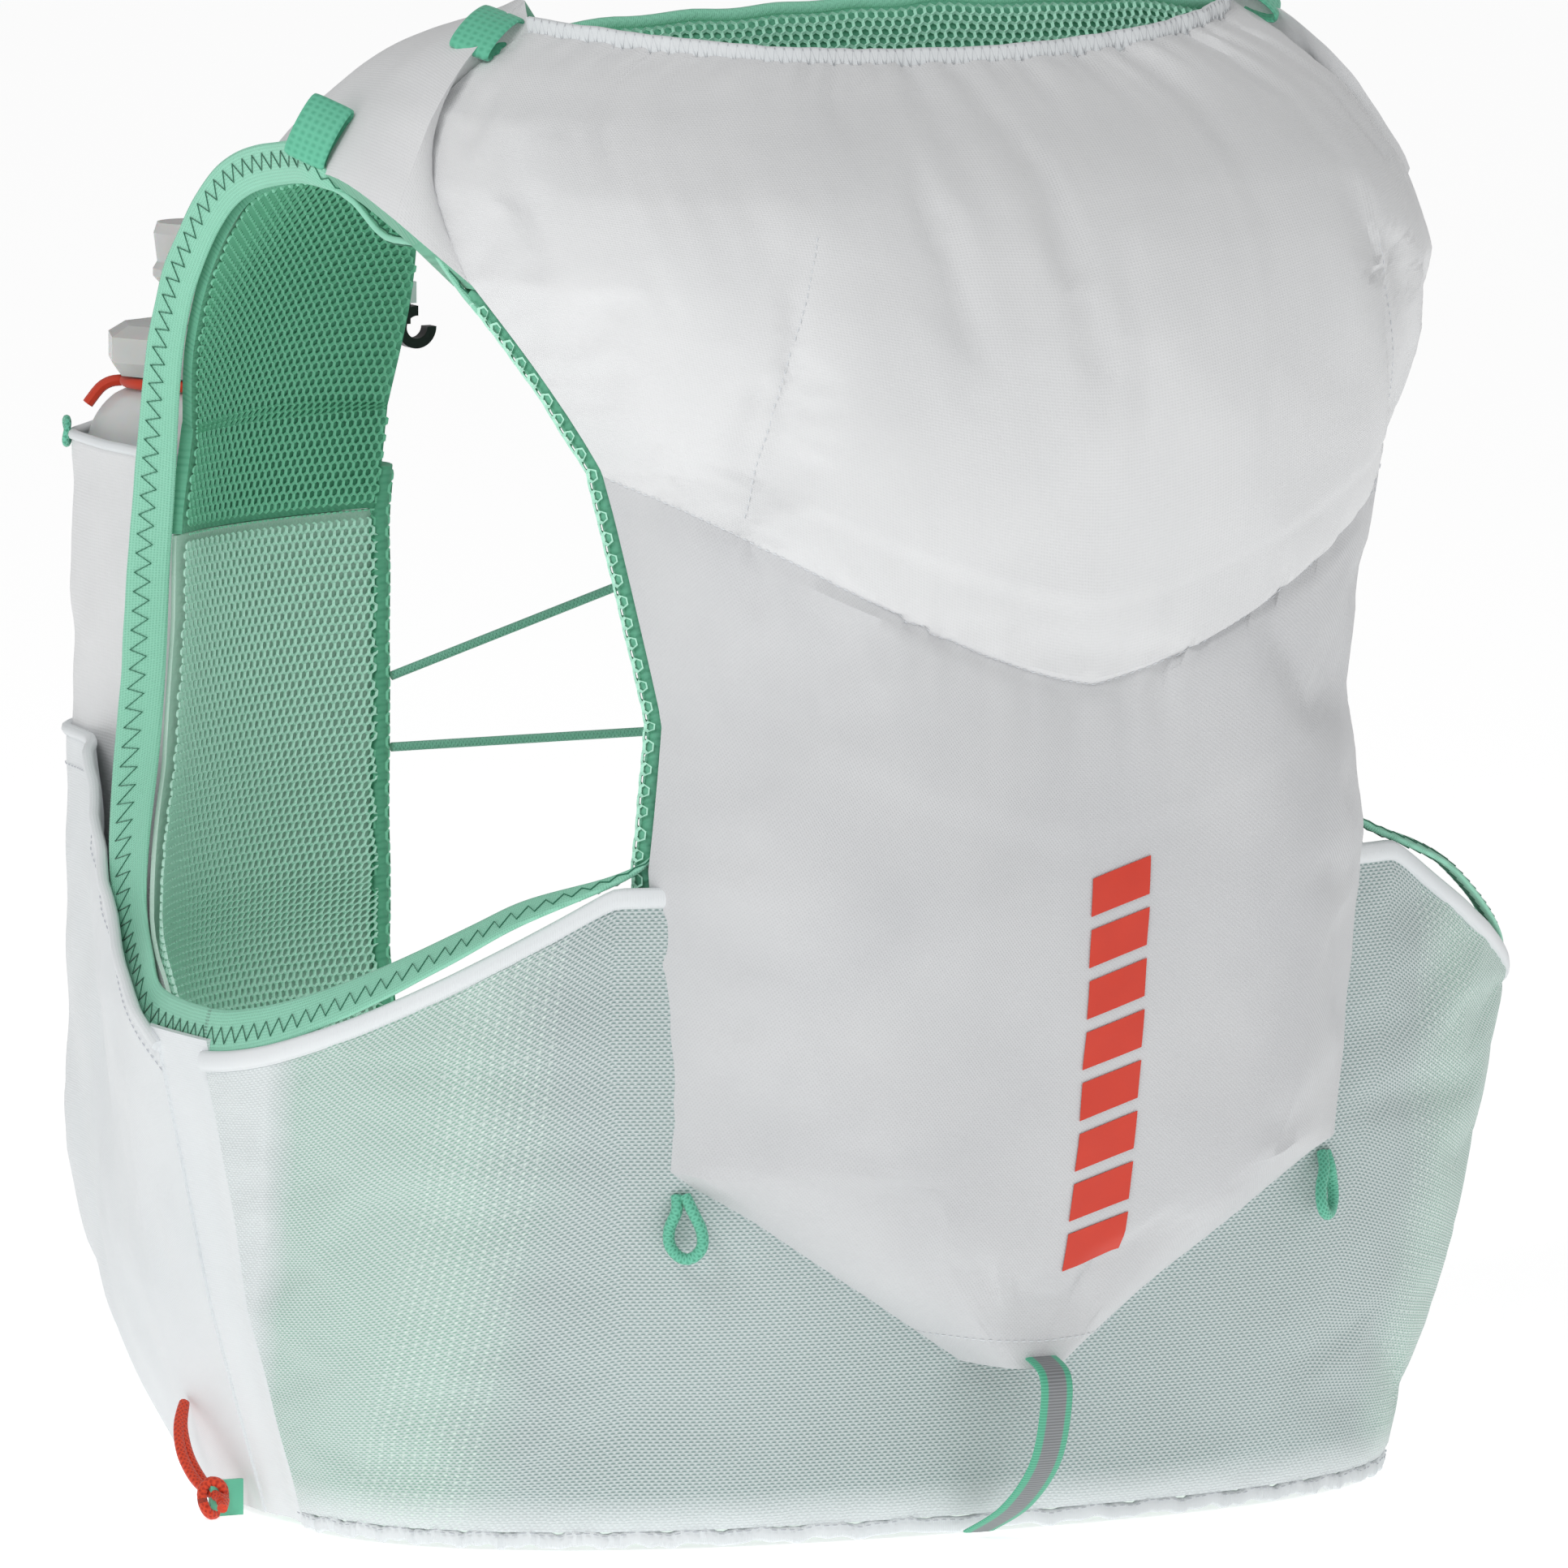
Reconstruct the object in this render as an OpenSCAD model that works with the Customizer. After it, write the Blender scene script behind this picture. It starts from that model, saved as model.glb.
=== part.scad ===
// Running hydration vest: a back compartment and a belt pocket on a mesh harness, two front
// panels that swing open, and a soft flask in each chest pocket.
// Frame: +Z up, the wearer's chest towards +Y, the pack's outer face towards -Y, the hem at z = 0.

/* [Harness] */
// Height from the hem to the shoulders
vest_h = 415; // [370:5:500]
// Half of the width at the hem
hem_half_w = 155; // [129:1:186]
// Half of the width at the armholes
chest_half_w = 189; // [157:1:227]
// Depth from the middle to the wearer's back
back_d = 124; // [112:1:149]
// Depth from the middle to the wearer's chest
chest_d = 122; // [102:1:147]
// Height of the armholes' lowest point
arm_low_z = 141; // [118:1:170]
// Thickness of the spacer mesh
mesh_t = 3.6; // [2:0.2:5]
// Thickness of the stretch fabric
fabric_t = 1.2; // [0.8:0.1:1.6]
// Width of the binding tape round the armholes
binding_w = 10; // [8:0.5:12]
// Width of the stretch strip between the back and each front panel
flex_w = 26; // [22:1:32]
// Share of the chest that each front panel covers, as an angle from the side
front_sweep = 70; // [64:1:74]

/* [Compartment] */
// Half of the width of the back panel at its lower corners
panel_half_w = 104; // [87:1:112]
// Height of the back panel's lowest point
panel_tip_z = 50; // [42:1:60]
// Height of the back panel's lower corners
panel_corner_z = 107; // [92:1:128]
// How far the filled compartment stands out from the back
bulge = 46; // [38:1:56]
// Depth of the belt pocket between its two walls
belt_gap = 5.6; // [4.8:0.2:6.6]
// Width of the reflective strip
strip_w = 12; // [8:1:16]

/* [Flask] */
// Outer radius of the flask
flask_r = 30; // [25:1:34]
// Height of the flask's bag
flask_h = 195; // [163:1:205]
// Thickness of the flask's wall
flask_wall = 1.4; // [1:0.1:2]
// Radius of the opening in the flask's neck
neck_bore_r = 14; // [11.5:0.5:15.5]
// Outer radius of the screw cap
cap_r = 24; // [20:0.5:26]
// Height of the screw cap
cap_h = 14; // [11:0.5:17]
// Length of the bite valve
valve_h = 28; // [23:1:34]
// Gap between the flask and its pocket
pocket_gap = 1.2; // [0.8:0.1:2]

/* [Cords] */
// Diameter of the chest cords
chest_cord_d = 2.6; // [2:0.1:3.2]
// Diameter of the pole cords and the flask keepers
pole_cord_d = 3.2; // [2.6:0.1:3.6]
// Diameter of the green cord loops
loop_cord_d = 4; // [3:0.1:5]
// Inner radius of the green cord loops
loop_r = 4.5; // [4:0.5:6]
// Width of the webbing loops
webbing_w = 13; // [10:1:15]
// Thickness of the webbing
webbing_t = 1.6; // [1:0.1:2]
// Height of the gap in a webbing loop
webbing_gap = 5.5; // [5:0.5:7]

/* [Fasteners] */
// Radius of the pin that a pole hook turns on
hook_pin_r = 1.5; // [1.2:0.1:1.8]
// Radial clearance of the pole hook on its pin
hook_clearance = 0.08; // [0.05:0.01:0.1]
// Width of the zip's tape
zip_w = 7; // [6.5:0.5:8]
// Length of the zip
zip_l = 120; // [100:1:140]

/* [Hidden] */
$fn = 48;

round_n = 2.5;                              // how square the body's section is; 2 is an ellipse
layer = 0.4;                                // gap between two layers of cloth
arm_high_z = vest_h - 43;                   // top of the armholes
blade_z = vest_h - 65;                      // where the back panel is widest
neck_half_w = 100;                          // half of the neck's width
belt_in = layer;                            // offsets of the belt's walls from the lining
belt_out = belt_in + fabric_t + belt_gap;
shell_foot = belt_out + fabric_t + 2 * layer;   // the shell's edge lies on the belt
seam_z = panel_corner_z + 135;              // lowest point of the seam across the shell

// The body's section at each height: half width, depth to the back and depth to the chest.
side_rows = [
    [0, hem_half_w], [arm_low_z * 0.43, hem_half_w * 0.5 + chest_half_w * 0.5],
    [arm_low_z, chest_half_w], [arm_high_z - 100, chest_half_w], [arm_high_z - 50, chest_half_w - 4],
    [blade_z, chest_half_w - 24], [arm_high_z, chest_half_w - 36], [vest_h, neck_half_w + 20]
];
back_rows = [
    [0, back_d - 34], [panel_tip_z, back_d - 22], [panel_corner_z, back_d - 8],
    [arm_low_z + 50, back_d], [blade_z - 50, back_d - 10], [blade_z, back_d - 28],
    [arm_high_z, back_d - 40], [vest_h, back_d - 66]
];
chest_rows = [
    [0, chest_d - 18], [60, chest_d - 6], [arm_low_z - 20, chest_d], [arm_high_z - 110, chest_d],
    [arm_high_z - 50, chest_d - 10], [arm_high_z, chest_d - 42], [vest_h, chest_d - 80]
];

function power(v, p) = (v < 0 ? -1 : 1) * pow(abs(v), p);
// A point of the body's section at angle th from the middle of the back, off outside the lining.
function section(th, z, off = 0) =
    let (
        a = lookup(z, side_rows) + off,
        b = (cos(th) > 0 ? lookup(z, back_rows) : lookup(z, chest_rows)) + off
    ) [a * power(sin(th), 2 / round_n), -b * power(cos(th), 2 / round_n), z];
// Depth of the back and of the chest, off outside the lining, at a distance x from the middle.
function across(x, a) = pow(max(0, 1 - pow(min(1, abs(x) / a), round_n)), 1 / round_n);
function back_y(x, z, off = 0) =
    -(lookup(z, back_rows) + off) * across(x, lookup(z, side_rows) + off);
function chest_y(x, z, off = 0) =
    (lookup(z, chest_rows) + off) * across(x, lookup(z, side_rows) + off);

function unit(v) = v / max(norm(v), 1e-6);
function spline(a, b, c, d, t) =
    0.5 * (2 * b + (c - a) * t + (2 * a - 5 * b + 4 * c - d) * t * t
    + (3 * b - a - 3 * c + d) * t * t * t);
// A smooth curve through points, with steps between each two of them.
function curve(p, steps) = [
    for (i = [0:len(p) - 2], s = [0:steps - (i == len(p) - 2 ? 0 : 1)])
        let (a = p[max(i - 1, 0)], d = p[min(i + 2, len(p) - 1)])
            spline(a, p[i], p[i + 1], d, s / steps)
];
function share(i, n) = i / (n - 1);
function mix(a, b, t) = a + (b - a) * t;

// A closed sheet of cloth between two grids of points, given row by row.
module cloth(outer, inner) {
    rows = len(outer);
    cols = len(outer[0]);
    points = concat([for (r = outer) each r], [for (r = inner) each r]);
    function o(i, j) = i * cols + j;
    function n(i, j) = rows * cols + i * cols + j;
    faces = concat(
        [for (i = [0:rows - 2], j = [0:cols - 2]) each
            [[o(i, j), o(i + 1, j + 1), o(i, j + 1)], [o(i, j), o(i + 1, j), o(i + 1, j + 1)],
             [n(i, j), n(i, j + 1), n(i + 1, j + 1)], [n(i, j), n(i + 1, j + 1), n(i + 1, j)]]],
        [for (j = [0:cols - 2], m = [0, rows - 1]) each (m == 0
            ? [[o(m, j), o(m, j + 1), n(m, j + 1)], [o(m, j), n(m, j + 1), n(m, j)]]
            : [[o(m, j + 1), o(m, j), n(m, j)], [o(m, j + 1), n(m, j), n(m, j + 1)]])],
        [for (i = [0:rows - 2], m = [0, cols - 1]) each (m == 0
            ? [[o(i + 1, m), o(i, m), n(i, m)], [o(i + 1, m), n(i, m), n(i + 1, m)]]
            : [[o(i, m), o(i + 1, m), n(i + 1, m)], [o(i, m), n(i + 1, m), n(i, m)]])]
    );
    polyhedron(points, faces, convexity = 10);
}

// A ribbon between two edges, t thick on the side that its faces turn away from.
module ribbon(left, right, t) {
    n = len(left);
    function out(i) =
        let (along = left[min(i + 1, n - 1)] - left[max(i - 1, 0)])
            unit(cross(right[i] - left[i], along)) * t;
    cloth(
        [for (i = [0:n - 1]) [left[i], right[i]]],
        [for (i = [0:n - 1]) [left[i] - out(i), right[i] - out(i)]]
    );
}

// A round cord along points.
module cord(p, d, sides = 8) {
    n = len(p);
    function along(i) = unit(p[min(i + 1, n - 1)] - p[max(i - 1, 0)]);
    ups = abs(along(0)[2]) < 0.8 ? [0, 0, 1] : [0, 1, 0];
    function ring(i) =
        let (t = along(i), u = unit(cross(t, ups)), w = cross(t, u))
            [for (k = [0:sides - 1]) p[i] + (u * cos(360 * k / sides) + w * sin(360 * k / sides)) * d / 2];
    points = [for (i = [0:n - 1]) each ring(i)];
    faces = concat(
        [[for (k = [0:sides - 1]) sides - 1 - k]],
        [for (i = [0:n - 2], k = [0:sides - 1]) each
            let (a = i * sides + k, b = i * sides + (k + 1) % sides)
                [[a, b, b + sides], [a, b + sides, a + sides]]],
        [[for (k = [0:sides - 1]) (n - 1) * sides + k]]
    );
    polyhedron(points, [for (f = faces) [for (i = [len(f) - 1:-1:0]) f[i]]], convexity = 10);
}

// ---- The back ----

edge_rows = [
    [0, panel_half_w - 4], [panel_corner_z, panel_half_w], [arm_low_z + 50, panel_half_w + 6],
    [arm_low_z + 90, panel_half_w + 1], [blade_z - 50, panel_half_w + 14], [blade_z, panel_half_w + 37],
    [arm_high_z, panel_half_w + 27], [vest_h - 20, panel_half_w + 10], [vest_h + 9, neck_half_w - 2]
];
tip_half_w = 13;
// Outline of the back compartment: pointed at the foot, then the panel's own edge.
function shell_half(z) =
    z < panel_corner_z
        ? mix(tip_half_w, panel_half_w, (z - panel_tip_z) / (panel_corner_z - panel_tip_z))
        : lookup(z, edge_rows);
// How far the filled shell stands out at its middle.
bulge_rows = [
    [panel_tip_z, bulge * 0.72], [panel_corner_z, bulge * 0.76], [seam_z, bulge],
    [blade_z - 20, bulge * 1.36], [arm_high_z, bulge * 1.2], [vest_h - 9, bulge * 0.62]
];
neck_dip = 9;                               // how far the mouth's middle lies below its ends
back_cols = 15;

function back_point(s, z, off) =
    let (x = s * lookup(z, edge_rows)) [x, back_y(x, z, off), z];
function shell_point(s, z, off) =
    let (
        x = s * shell_half(z),
        out = (lookup(z, bulge_rows) - shell_foot) * (1 - pow(abs(s), 3)),
        drop = z > arm_high_z ? neck_dip * (1 - s * s) * (z - arm_high_z) / (vest_h - arm_high_z) : 0
    ) [x, back_y(x, z, shell_foot + off) - out, z - drop];
// The seam across the shell is a wide V.
function seam_at(s) = seam_z + (blade_z - 52 - seam_z) * pow(abs(s), 1.5);

module back_lining()
    color("mediumaquamarine")
        let (
            n = 17,
            grid = function(off) [for (i = [0:n - 1]) [for (j = [0:back_cols - 1])
                back_point(2 * share(j, back_cols) - 1, mix(8, vest_h, share(i, n)), off)]]
        ) cloth(grid(0), grid(-mesh_t));

module shell(levels)
    color("whitesmoke")
        let (
            grid = function(off) [for (z = levels) [for (j = [0:back_cols - 1])
                let (s = 2 * share(j, back_cols) - 1) shell_point(s, z(s), off)]]
        ) cloth(grid(fabric_t), grid(0));

module lower_shell()
    shell(concat(
        [for (i = [0:4]) function(s) mix(panel_tip_z, panel_corner_z, i / 4)],
        [for (i = [1:7]) function(s) mix(panel_corner_z, seam_at(s) - layer, i / 7)]
    ));
module upper_shell() shell([for (i = [0:10]) function(s) mix(seam_at(s), vest_h - 1, i / 10)]);

// The white tape along the compartment's mouth.
module mouth_binding()
    color("white")
        let (
            n = 17,
            at = function(i, off) shell_point(2 * share(i, n) - 1, vest_h - 1, off) + [0, 0, layer],
            w = 3.2
        ) cloth(
            [for (k = [0, w]) [for (i = [0:n - 1]) at(i, fabric_t + 0.8) + [0, 0, k]]],
            [for (k = [0, w]) [for (i = [0:n - 1]) at(i, -0.8) + [0, 0, k]]]
        );

// The belt runs round the back; a stretch strip at each side joins it to the front panels.
flex_th = 3.7 * flex_w / 26;                // half of the strip's width as an angle
side_th = 90 - flex_th;
belt_cols = 25;
function belt_top(th) =
    let (t = min(1, abs(th) / 90))
        arm_low_z - 8 + (t < 0.36 ? 52 : 52 * pow(1 - (t - 0.36) / 0.64, 1.8));
function belt_th(j) = mix(-1, 1, share(j, belt_cols)) * side_th;

module belt(off, low, drop)
    let (
        n = 8,
        grid = function(o) [for (i = [0:n - 1]) [for (j = [0:belt_cols - 1])
            let (th = belt_th(j)) section(th, mix(low, belt_top(th) - drop, share(i, n)), o)]]
    ) cloth(grid(off + fabric_t), grid(off));

module belt_lining() color("honeydew") belt(belt_in, 6, 4);
module belt_mesh() color("azure") belt(belt_out, 6, 0);
// The gathered hem closes the belt pocket's foot.
module hem_tape()
    color("white")
        let (
            grid = function(o) [for (z = [0, 5.4]) [for (j = [0:belt_cols - 1]) section(belt_th(j), z, o)]]
        ) cloth(grid(belt_out + fabric_t), grid(belt_in));
// The strip gives way as the front panel swings.
module side_strip()
    color("azure")
        let (
            th = function(j) mix(side_th + 0.25, 180 - side_th - 0.25, share(j, 5)),
            grid = function(o) [for (i = [0:7]) [for (j = [0:4])
                section(th(j), mix(1, belt_top(90) - 1, i / 7), o)]]
        ) cloth(grid(belt_in + 3), grid(belt_in));

strip_route = [
    [0, -40, panel_tip_z - 0.6], [0, -42, panel_tip_z - 12], [0, -38, panel_tip_z - 27],
    [0, -29, panel_tip_z - 40], [0, -belt_out - fabric_t - 6, 1]
];
module reflective_strip()
    color("gray")
        let (
            foot = curve([for (p = strip_route) [0, p[1] - lookup(max(p[2], 0), back_rows), p[2]]], 4),
            half = [strip_w / 2, 0, 0]
        ) ribbon([for (p = foot) p - half], [for (p = foot) p + half], webbing_t);

// ---- One side, drawn on the wearer's right and mirrored for the left ----

// The front lining's outer edge follows the armhole.
front_in_th = 90 + front_sweep;
front_edge = 180 - side_th;
front_rows = [
    [3, front_edge], [arm_low_z - 6, front_edge], [arm_low_z + 8, 99], [arm_low_z + 24, 111],
    [arm_low_z + 60, 122], [arm_low_z + 100, 126], [arm_high_z - 74, 127]
];
join_z = arm_high_z - 76;                   // where the strap meets the front lining

// Edges of the shoulder strap, from the back over the shoulder to the chest.
strap_inner = [
    [98, -44, vest_h - 2], [100, -28, vest_h + 1], [100, -flex_w / 2, vest_h + 1], [99, flex_w / 2 + 3, vest_h - 4],
    [95, 40, vest_h - 19], [88, 70, vest_h - 50], [80, 94, vest_h - 86], section(front_in_th, join_z + 3 * layer)
];
strap_outer = [
    [145, -79, vest_h - 70], [152, -54, vest_h - 55], [154, -flex_w / 2, vest_h - 43], [155, flex_w / 2 + 3, vest_h - 44],
    [157, 40, vest_h - 52], [159, 58, vest_h - 72], [159, 70, vest_h - 96], section(127, join_z + 3 * layer)
];
strap_crown = [5, 8, 9, 9, 8, 7, 6.5, 6.3];
strap_cols = 6;
strap_steps = 3;
strap_a = curve(strap_inner, strap_steps);
strap_b = curve(strap_outer, strap_steps);
function strap_normal(k) =
    let (n = len(strap_a), i = max(k - 1, 0), j = min(k + 1, n - 1))
        unit(cross(strap_b[k] - strap_a[k], strap_a[j] + strap_b[j] - strap_a[i] - strap_b[i]));
// A point of the strap: k counts its cross lines, s runs from the neck's side to the armhole's.
function strap_point(k, s, off) =
    mix(strap_a[k], strap_b[k], s)
    + strap_normal(k) * (4 * s * (1 - s) * lookup(k / strap_steps, [for (i = [0:7]) [i, strap_crown[i]]]) + off);
module strap(from, to)
    color("whitesmoke")
        let (
            grid = function(off) [for (k = [from:to]) [for (j = [0:strap_cols - 1])
                strap_point(k, share(j, strap_cols), off)]]
        ) cloth(grid(0), grid(-mesh_t));
strap_split = 2 * strap_steps;
// The strap's back end follows the back panel's edge.
strap_gap = 2.6;
function strap_root(s, off) =
    let (z = mix(vest_h - 1.5, blade_z - 3, s), x = lookup(z, edge_rows))
        [x + strap_gap, back_y(x, z, off), z];
module strap_back()
    color("whitesmoke")
        let (
            grid = function(off) concat(
                [[for (j = [0:strap_cols - 1]) strap_root(share(j, strap_cols), off)]],
                [for (k = [3:strap_split]) [for (j = [0:strap_cols - 1]) strap_point(k, share(j, strap_cols), off)]]
            )
        ) cloth(grid(0), grid(-mesh_t));
// The strap over the shoulder bends as the front panel swings.
module strap_shoulder()
    color("whitesmoke")
        let (
            a = strap_split, b = strap_split + strap_steps, n = 5,
            at = function(t, s, off) let (p = strap_point(a, s, off), q = strap_point(b, s, off))
                spline(strap_point(a - 1, s, off), p, q, strap_point(b + 1, s, off), mix(0.02, 0.98, t)),
            grid = function(off) [for (i = [0:n - 1]) [for (j = [0:strap_cols - 1])
                at(share(i, n), share(j, strap_cols), off)]]
        ) cloth(grid(0), grid(-mesh_t));
module strap_front() strap(strap_split + strap_steps, len(strap_a) - 1);

// The armhole's edge, from the side up the back to the shoulder, and up the chest.
arm_back = concat(
    [for (th = [side_th:-9:40]) section(th, belt_top(th) + binding_w + 1.5, 1)],
    [for (z = [arm_low_z + 60:24:blade_z - 26]) back_point(1, z, 0)],
    [for (k = [strap_steps, strap_split]) strap_point(k, 1, 0) + [0.5, 0, 0]]
);
arm_front = concat(
    [for (z = [arm_low_z + 4, arm_low_z + 12, arm_low_z + 24, arm_low_z + 42])
        section(max(lookup(z, front_rows), front_edge + 1), z, 0)],
    [for (z = [arm_low_z + 66:24:join_z - 8]) section(lookup(z, front_rows), z, 0)],
    [for (k = [len(strap_b) - 4:-strap_steps:strap_split + strap_steps]) strap_point(k, 1, 0) + [0.5, 0, 0]]
);
arm_mid = [0, 0, (arm_low_z + arm_high_z) / 2];
// The tape stands round the hole and leans outwards.
tape_gap = 1.6;
tape_t = 1.4;
module armhole_tape(p, steps, side)
    color("mediumaquamarine")
        let (
            edge = curve(p, steps),
            away = function(q) unit([0, (q[1] - arm_mid[1]) * 1.4, q[2] - arm_mid[2]]),
            hole = [for (q = edge) q - away(q) * 0.4 + [tape_gap, 0, 0]],
            rim = [for (i = [0:len(edge) - 1])
                let (w = away(edge[i])) hole[i] + unit([0.8 * (1 - 0.7 * abs(w[2])), 0.7 * w[1], w[2]]) * binding_w]
        ) ribbon(side > 0 ? hole : rim, side > 0 ? rim : hole, tape_t);
module armhole_tape_back() armhole_tape(arm_back, 3, 1);
module armhole_tape_front() armhole_tape(arm_front, 3, -1);

// A flat loop of webbing that lies on the strap: the gap takes a hose or a pole.
loop_len = 15;
module webbing_loop()
    color("mediumaquamarine")
        translate([-loop_len / 2, webbing_w / 2, 0]) rotate([90, 0, 0]) linear_extrude(webbing_w) difference() {
            union() {
                square([loop_len, webbing_gap + 2 * webbing_t]);
                for (x = [0, loop_len]) translate([x, webbing_gap / 2 + webbing_t]) circle(webbing_gap / 2 + webbing_t);
            }
            translate([0, webbing_t]) square([loop_len, webbing_gap]);
            for (x = [0, loop_len]) translate([x, webbing_gap / 2 + webbing_t]) circle(webbing_gap / 2);
        }
module on_strap(k, s, up)
    let (
        p = strap_point(k, s, up), x = unit(strap_point(k, s + 0.1, up) - strap_point(k, s - 0.1, up)),
        w = strap_normal(k), z = unit(w - x * (w * x)), y = cross(z, x)
    ) multmatrix([[x[0], y[0], z[0], p[0]], [x[1], y[1], z[1], p[1]], [x[2], y[2], z[2], p[2]]]) children();
module neck_loop() on_strap(strap_steps + 1, 0.3, 1.2) webbing_loop();
module shoulder_loop() on_strap(strap_split + strap_steps + 1, 0.7, 1.2) webbing_loop();

// A cord loop whose two ends are caught in the panel's corner.
module corner_loop()
    color("mediumaquamarine")
        translate([panel_half_w - 5, back_y(panel_half_w - 5, panel_corner_z - 17) - belt_out - fabric_t - loop_cord_d / 2 - 5, panel_corner_z - 15])
            rotate([90, 0, 42]) rotate_extrude() translate([loop_r + loop_cord_d / 2, 0]) circle(loop_cord_d / 2);

// ---- The front panels ----

front_cols = 9;
module front_lining()
    color("mediumaquamarine")
        let (
            n = 15,
            grid = function(off) [for (i = [0:n - 1]) [for (j = [0:front_cols - 1])
                let (z = mix(3, join_z, share(i, n)))
                    section(mix(lookup(z, front_rows), front_in_th, share(j, front_cols)), z, off)]]
        ) cloth(grid(0), grid(-mesh_t));

// The flask stands on the chest, clear of the lining.
flask_z = 104;
flask_x = 123;
flask_y = chest_d - 10 + flask_r;
pocket_r = flask_r + pocket_gap;
pocket_low = flask_z - 32;
pocket_top = flask_z + flask_h - 13;
pocket_out_x = 156;

// Plan of a pocket wall that wraps the flask at radius r and ends on the lining at out_x.
function wrap(r, out_x, z, lift) =
    let (in_x = flask_x - r - 2) curve([
        [in_x, chest_y(in_x, z) + lift], [flask_x - r, flask_y - 2],
        for (a = [150:-30:30]) [flask_x + r * cos(a) * 1.02, flask_y + r * sin(a) * 1.02],
        [flask_x + r, flask_y - 2], [mix(flask_x + r, out_x, 0.5) + 1, mix(flask_y, chest_y(out_x, z), 0.55)],
        [out_x, chest_y(out_x, z) + lift]
    ], 2);
// The same number of points flat on the lining.
function flat(count, in_x, out_x, z, lift) =
    [for (i = [0:count - 1]) let (x = mix(in_x, out_x, share(i, count))) [x, chest_y(x, z) + lift]];
function pocket_row(r, out_x, z, lift, full) =
    let (w = wrap(r, out_x, z, lift), f = flat(len(w), flask_x - r - 2, out_x, z, lift))
        [for (i = [0:len(w) - 1]) let (p = mix(f[i], w[i], full)) [p[0], p[1], z]];
function reversed(g) = [for (row = g) [for (j = [len(row) - 1:-1:0]) row[j]]];

module flask_pocket()
    color("whitesmoke")
        let (
            stations = [[pocket_low, 0.35], [pocket_low + 8, 0.7], [pocket_low + 18, 0.93], [flask_z, 1],
                [mix(flask_z, pocket_top, 0.33), 1], [mix(flask_z, pocket_top, 0.66), 1], [pocket_top, 1]],
            grid = function(r, lift) [for (s = stations) pocket_row(r, pocket_out_x, s[0], lift, s[1])]
        ) cloth(reversed(grid(pocket_r + fabric_t, layer + 2.6)), reversed(grid(pocket_r, layer + 1.4)));

// The lower pocket covers the flask pocket's foot and runs back to the side strip.
side_r = pocket_r + fabric_t + 1.6;
side_end = flex_w / 2 + 0.5;
function side_wrap(r, z, lift) =
    let (w = wrap(r, 168, z, lift), n = len(w), edge = lookup(z, side_rows) + lift) concat(
        [for (i = [0:n - 3]) w[i]],
        [[mix(168, edge, 0.55) + 3, 62], [edge - 1, 36], [edge, side_end]]
    );
function side_flat(count, z, lift) = [for (i = [0:count - 1])
    let (p = section(mix(front_in_th - 3, front_edge, share(i, count)), z, lift)) [p[0], p[1]]];
function side_row(r, z, lift, full) =
    let (w = side_wrap(r, z, lift), f = side_flat(len(w), z, lift))
        [for (i = [0:len(w) - 1]) mix(f[i], w[i], full)];
side_count = len(side_wrap(side_r, 100, 0));
// The pocket's mouth slopes from the chest down to the side strip.
function side_top(i) =
    let (t = share(i, side_count), high = arm_low_z + 62)
        t < 0.62 ? high : mix(high, arm_low_z - 8, (t - 0.62) / 0.38);
module side_pocket()
    color("white")
        let (
            n = 10,
            full = [[2, 0.32], [34, 0.62], [60, 0.85], [86, 1], [500, 1]],
            grid = function(r, lift) [for (k = [0:n - 1]) [for (i = [side_count - 1:-1:0])
                let (z = mix(1, side_top(i), share(k, n)), p = side_row(r, z, lift, lookup(z, full))[i])
                    [p[0], p[1], z]]]
        ) cloth(grid(side_r + fabric_t, belt_out + fabric_t), grid(side_r, belt_out));

// A round piping down the inner edge, which the chest cords pull on.
rail_r = 2.2;
rail_gap = 0.6;
function rail_at(z) = section(front_in_th, z, -mesh_t / 2) - [rail_r + rail_gap, -0.3, 0];
module front_rail() color("mediumseagreen") cord(curve([for (z = [8:28:join_z - 4]) rail_at(z)], 2), 2 * rail_r);

// The zip runs down the lining beside the rail.
zip_x = section(front_in_th, 120)[0] + zip_w / 2 + 0.5;
zip_z = 62;
zip_y = max([for (z = [zip_z:20:zip_z + zip_l], x = [-1, 1]) chest_y(zip_x + x * zip_w / 2, z)]) + layer;
zip_t = 1.2;
module zip_tape()
    color("silver") difference() {
        translate([zip_x - zip_w / 2, zip_y, zip_z]) cube([zip_w, zip_t, zip_l]);
        translate([zip_x - 0.4, zip_y + zip_t / 2, zip_z + 4]) cube([0.8, zip_t, zip_l - 8]);
    }
slider_h = 9;
slide_gap = 0.3;
module zip_slider()
    color("dimgray") translate([zip_x, zip_y + zip_t + slide_gap, zip_z + zip_l - slider_h - 3]) {
        translate([-2.9, 0, 0]) cube([5.8, 2.2, slider_h]);
        translate([-0.7, 2, 1.5]) cube([1.4, 2.2, 6]);
        difference() {
            translate([-2.2, 2.9, -15]) cube([4.4, 1.2, 17.5]);
            translate([0, 2.4, -11]) rotate([-90, 0, 0]) cylinder(r = 1.1, h = 3);
        }
    }

// The small green cord on the pocket's rim.
module pocket_pull()
    color("mediumseagreen")
        translate([flask_x + (pocket_r + fabric_t + 4) * 0.89, flask_y + (pocket_r + fabric_t + 4) * 0.45, pocket_top + 1])
            rotate([0, 90, 63]) rotate_extrude() translate([3, 0]) circle(0.9);

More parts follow.
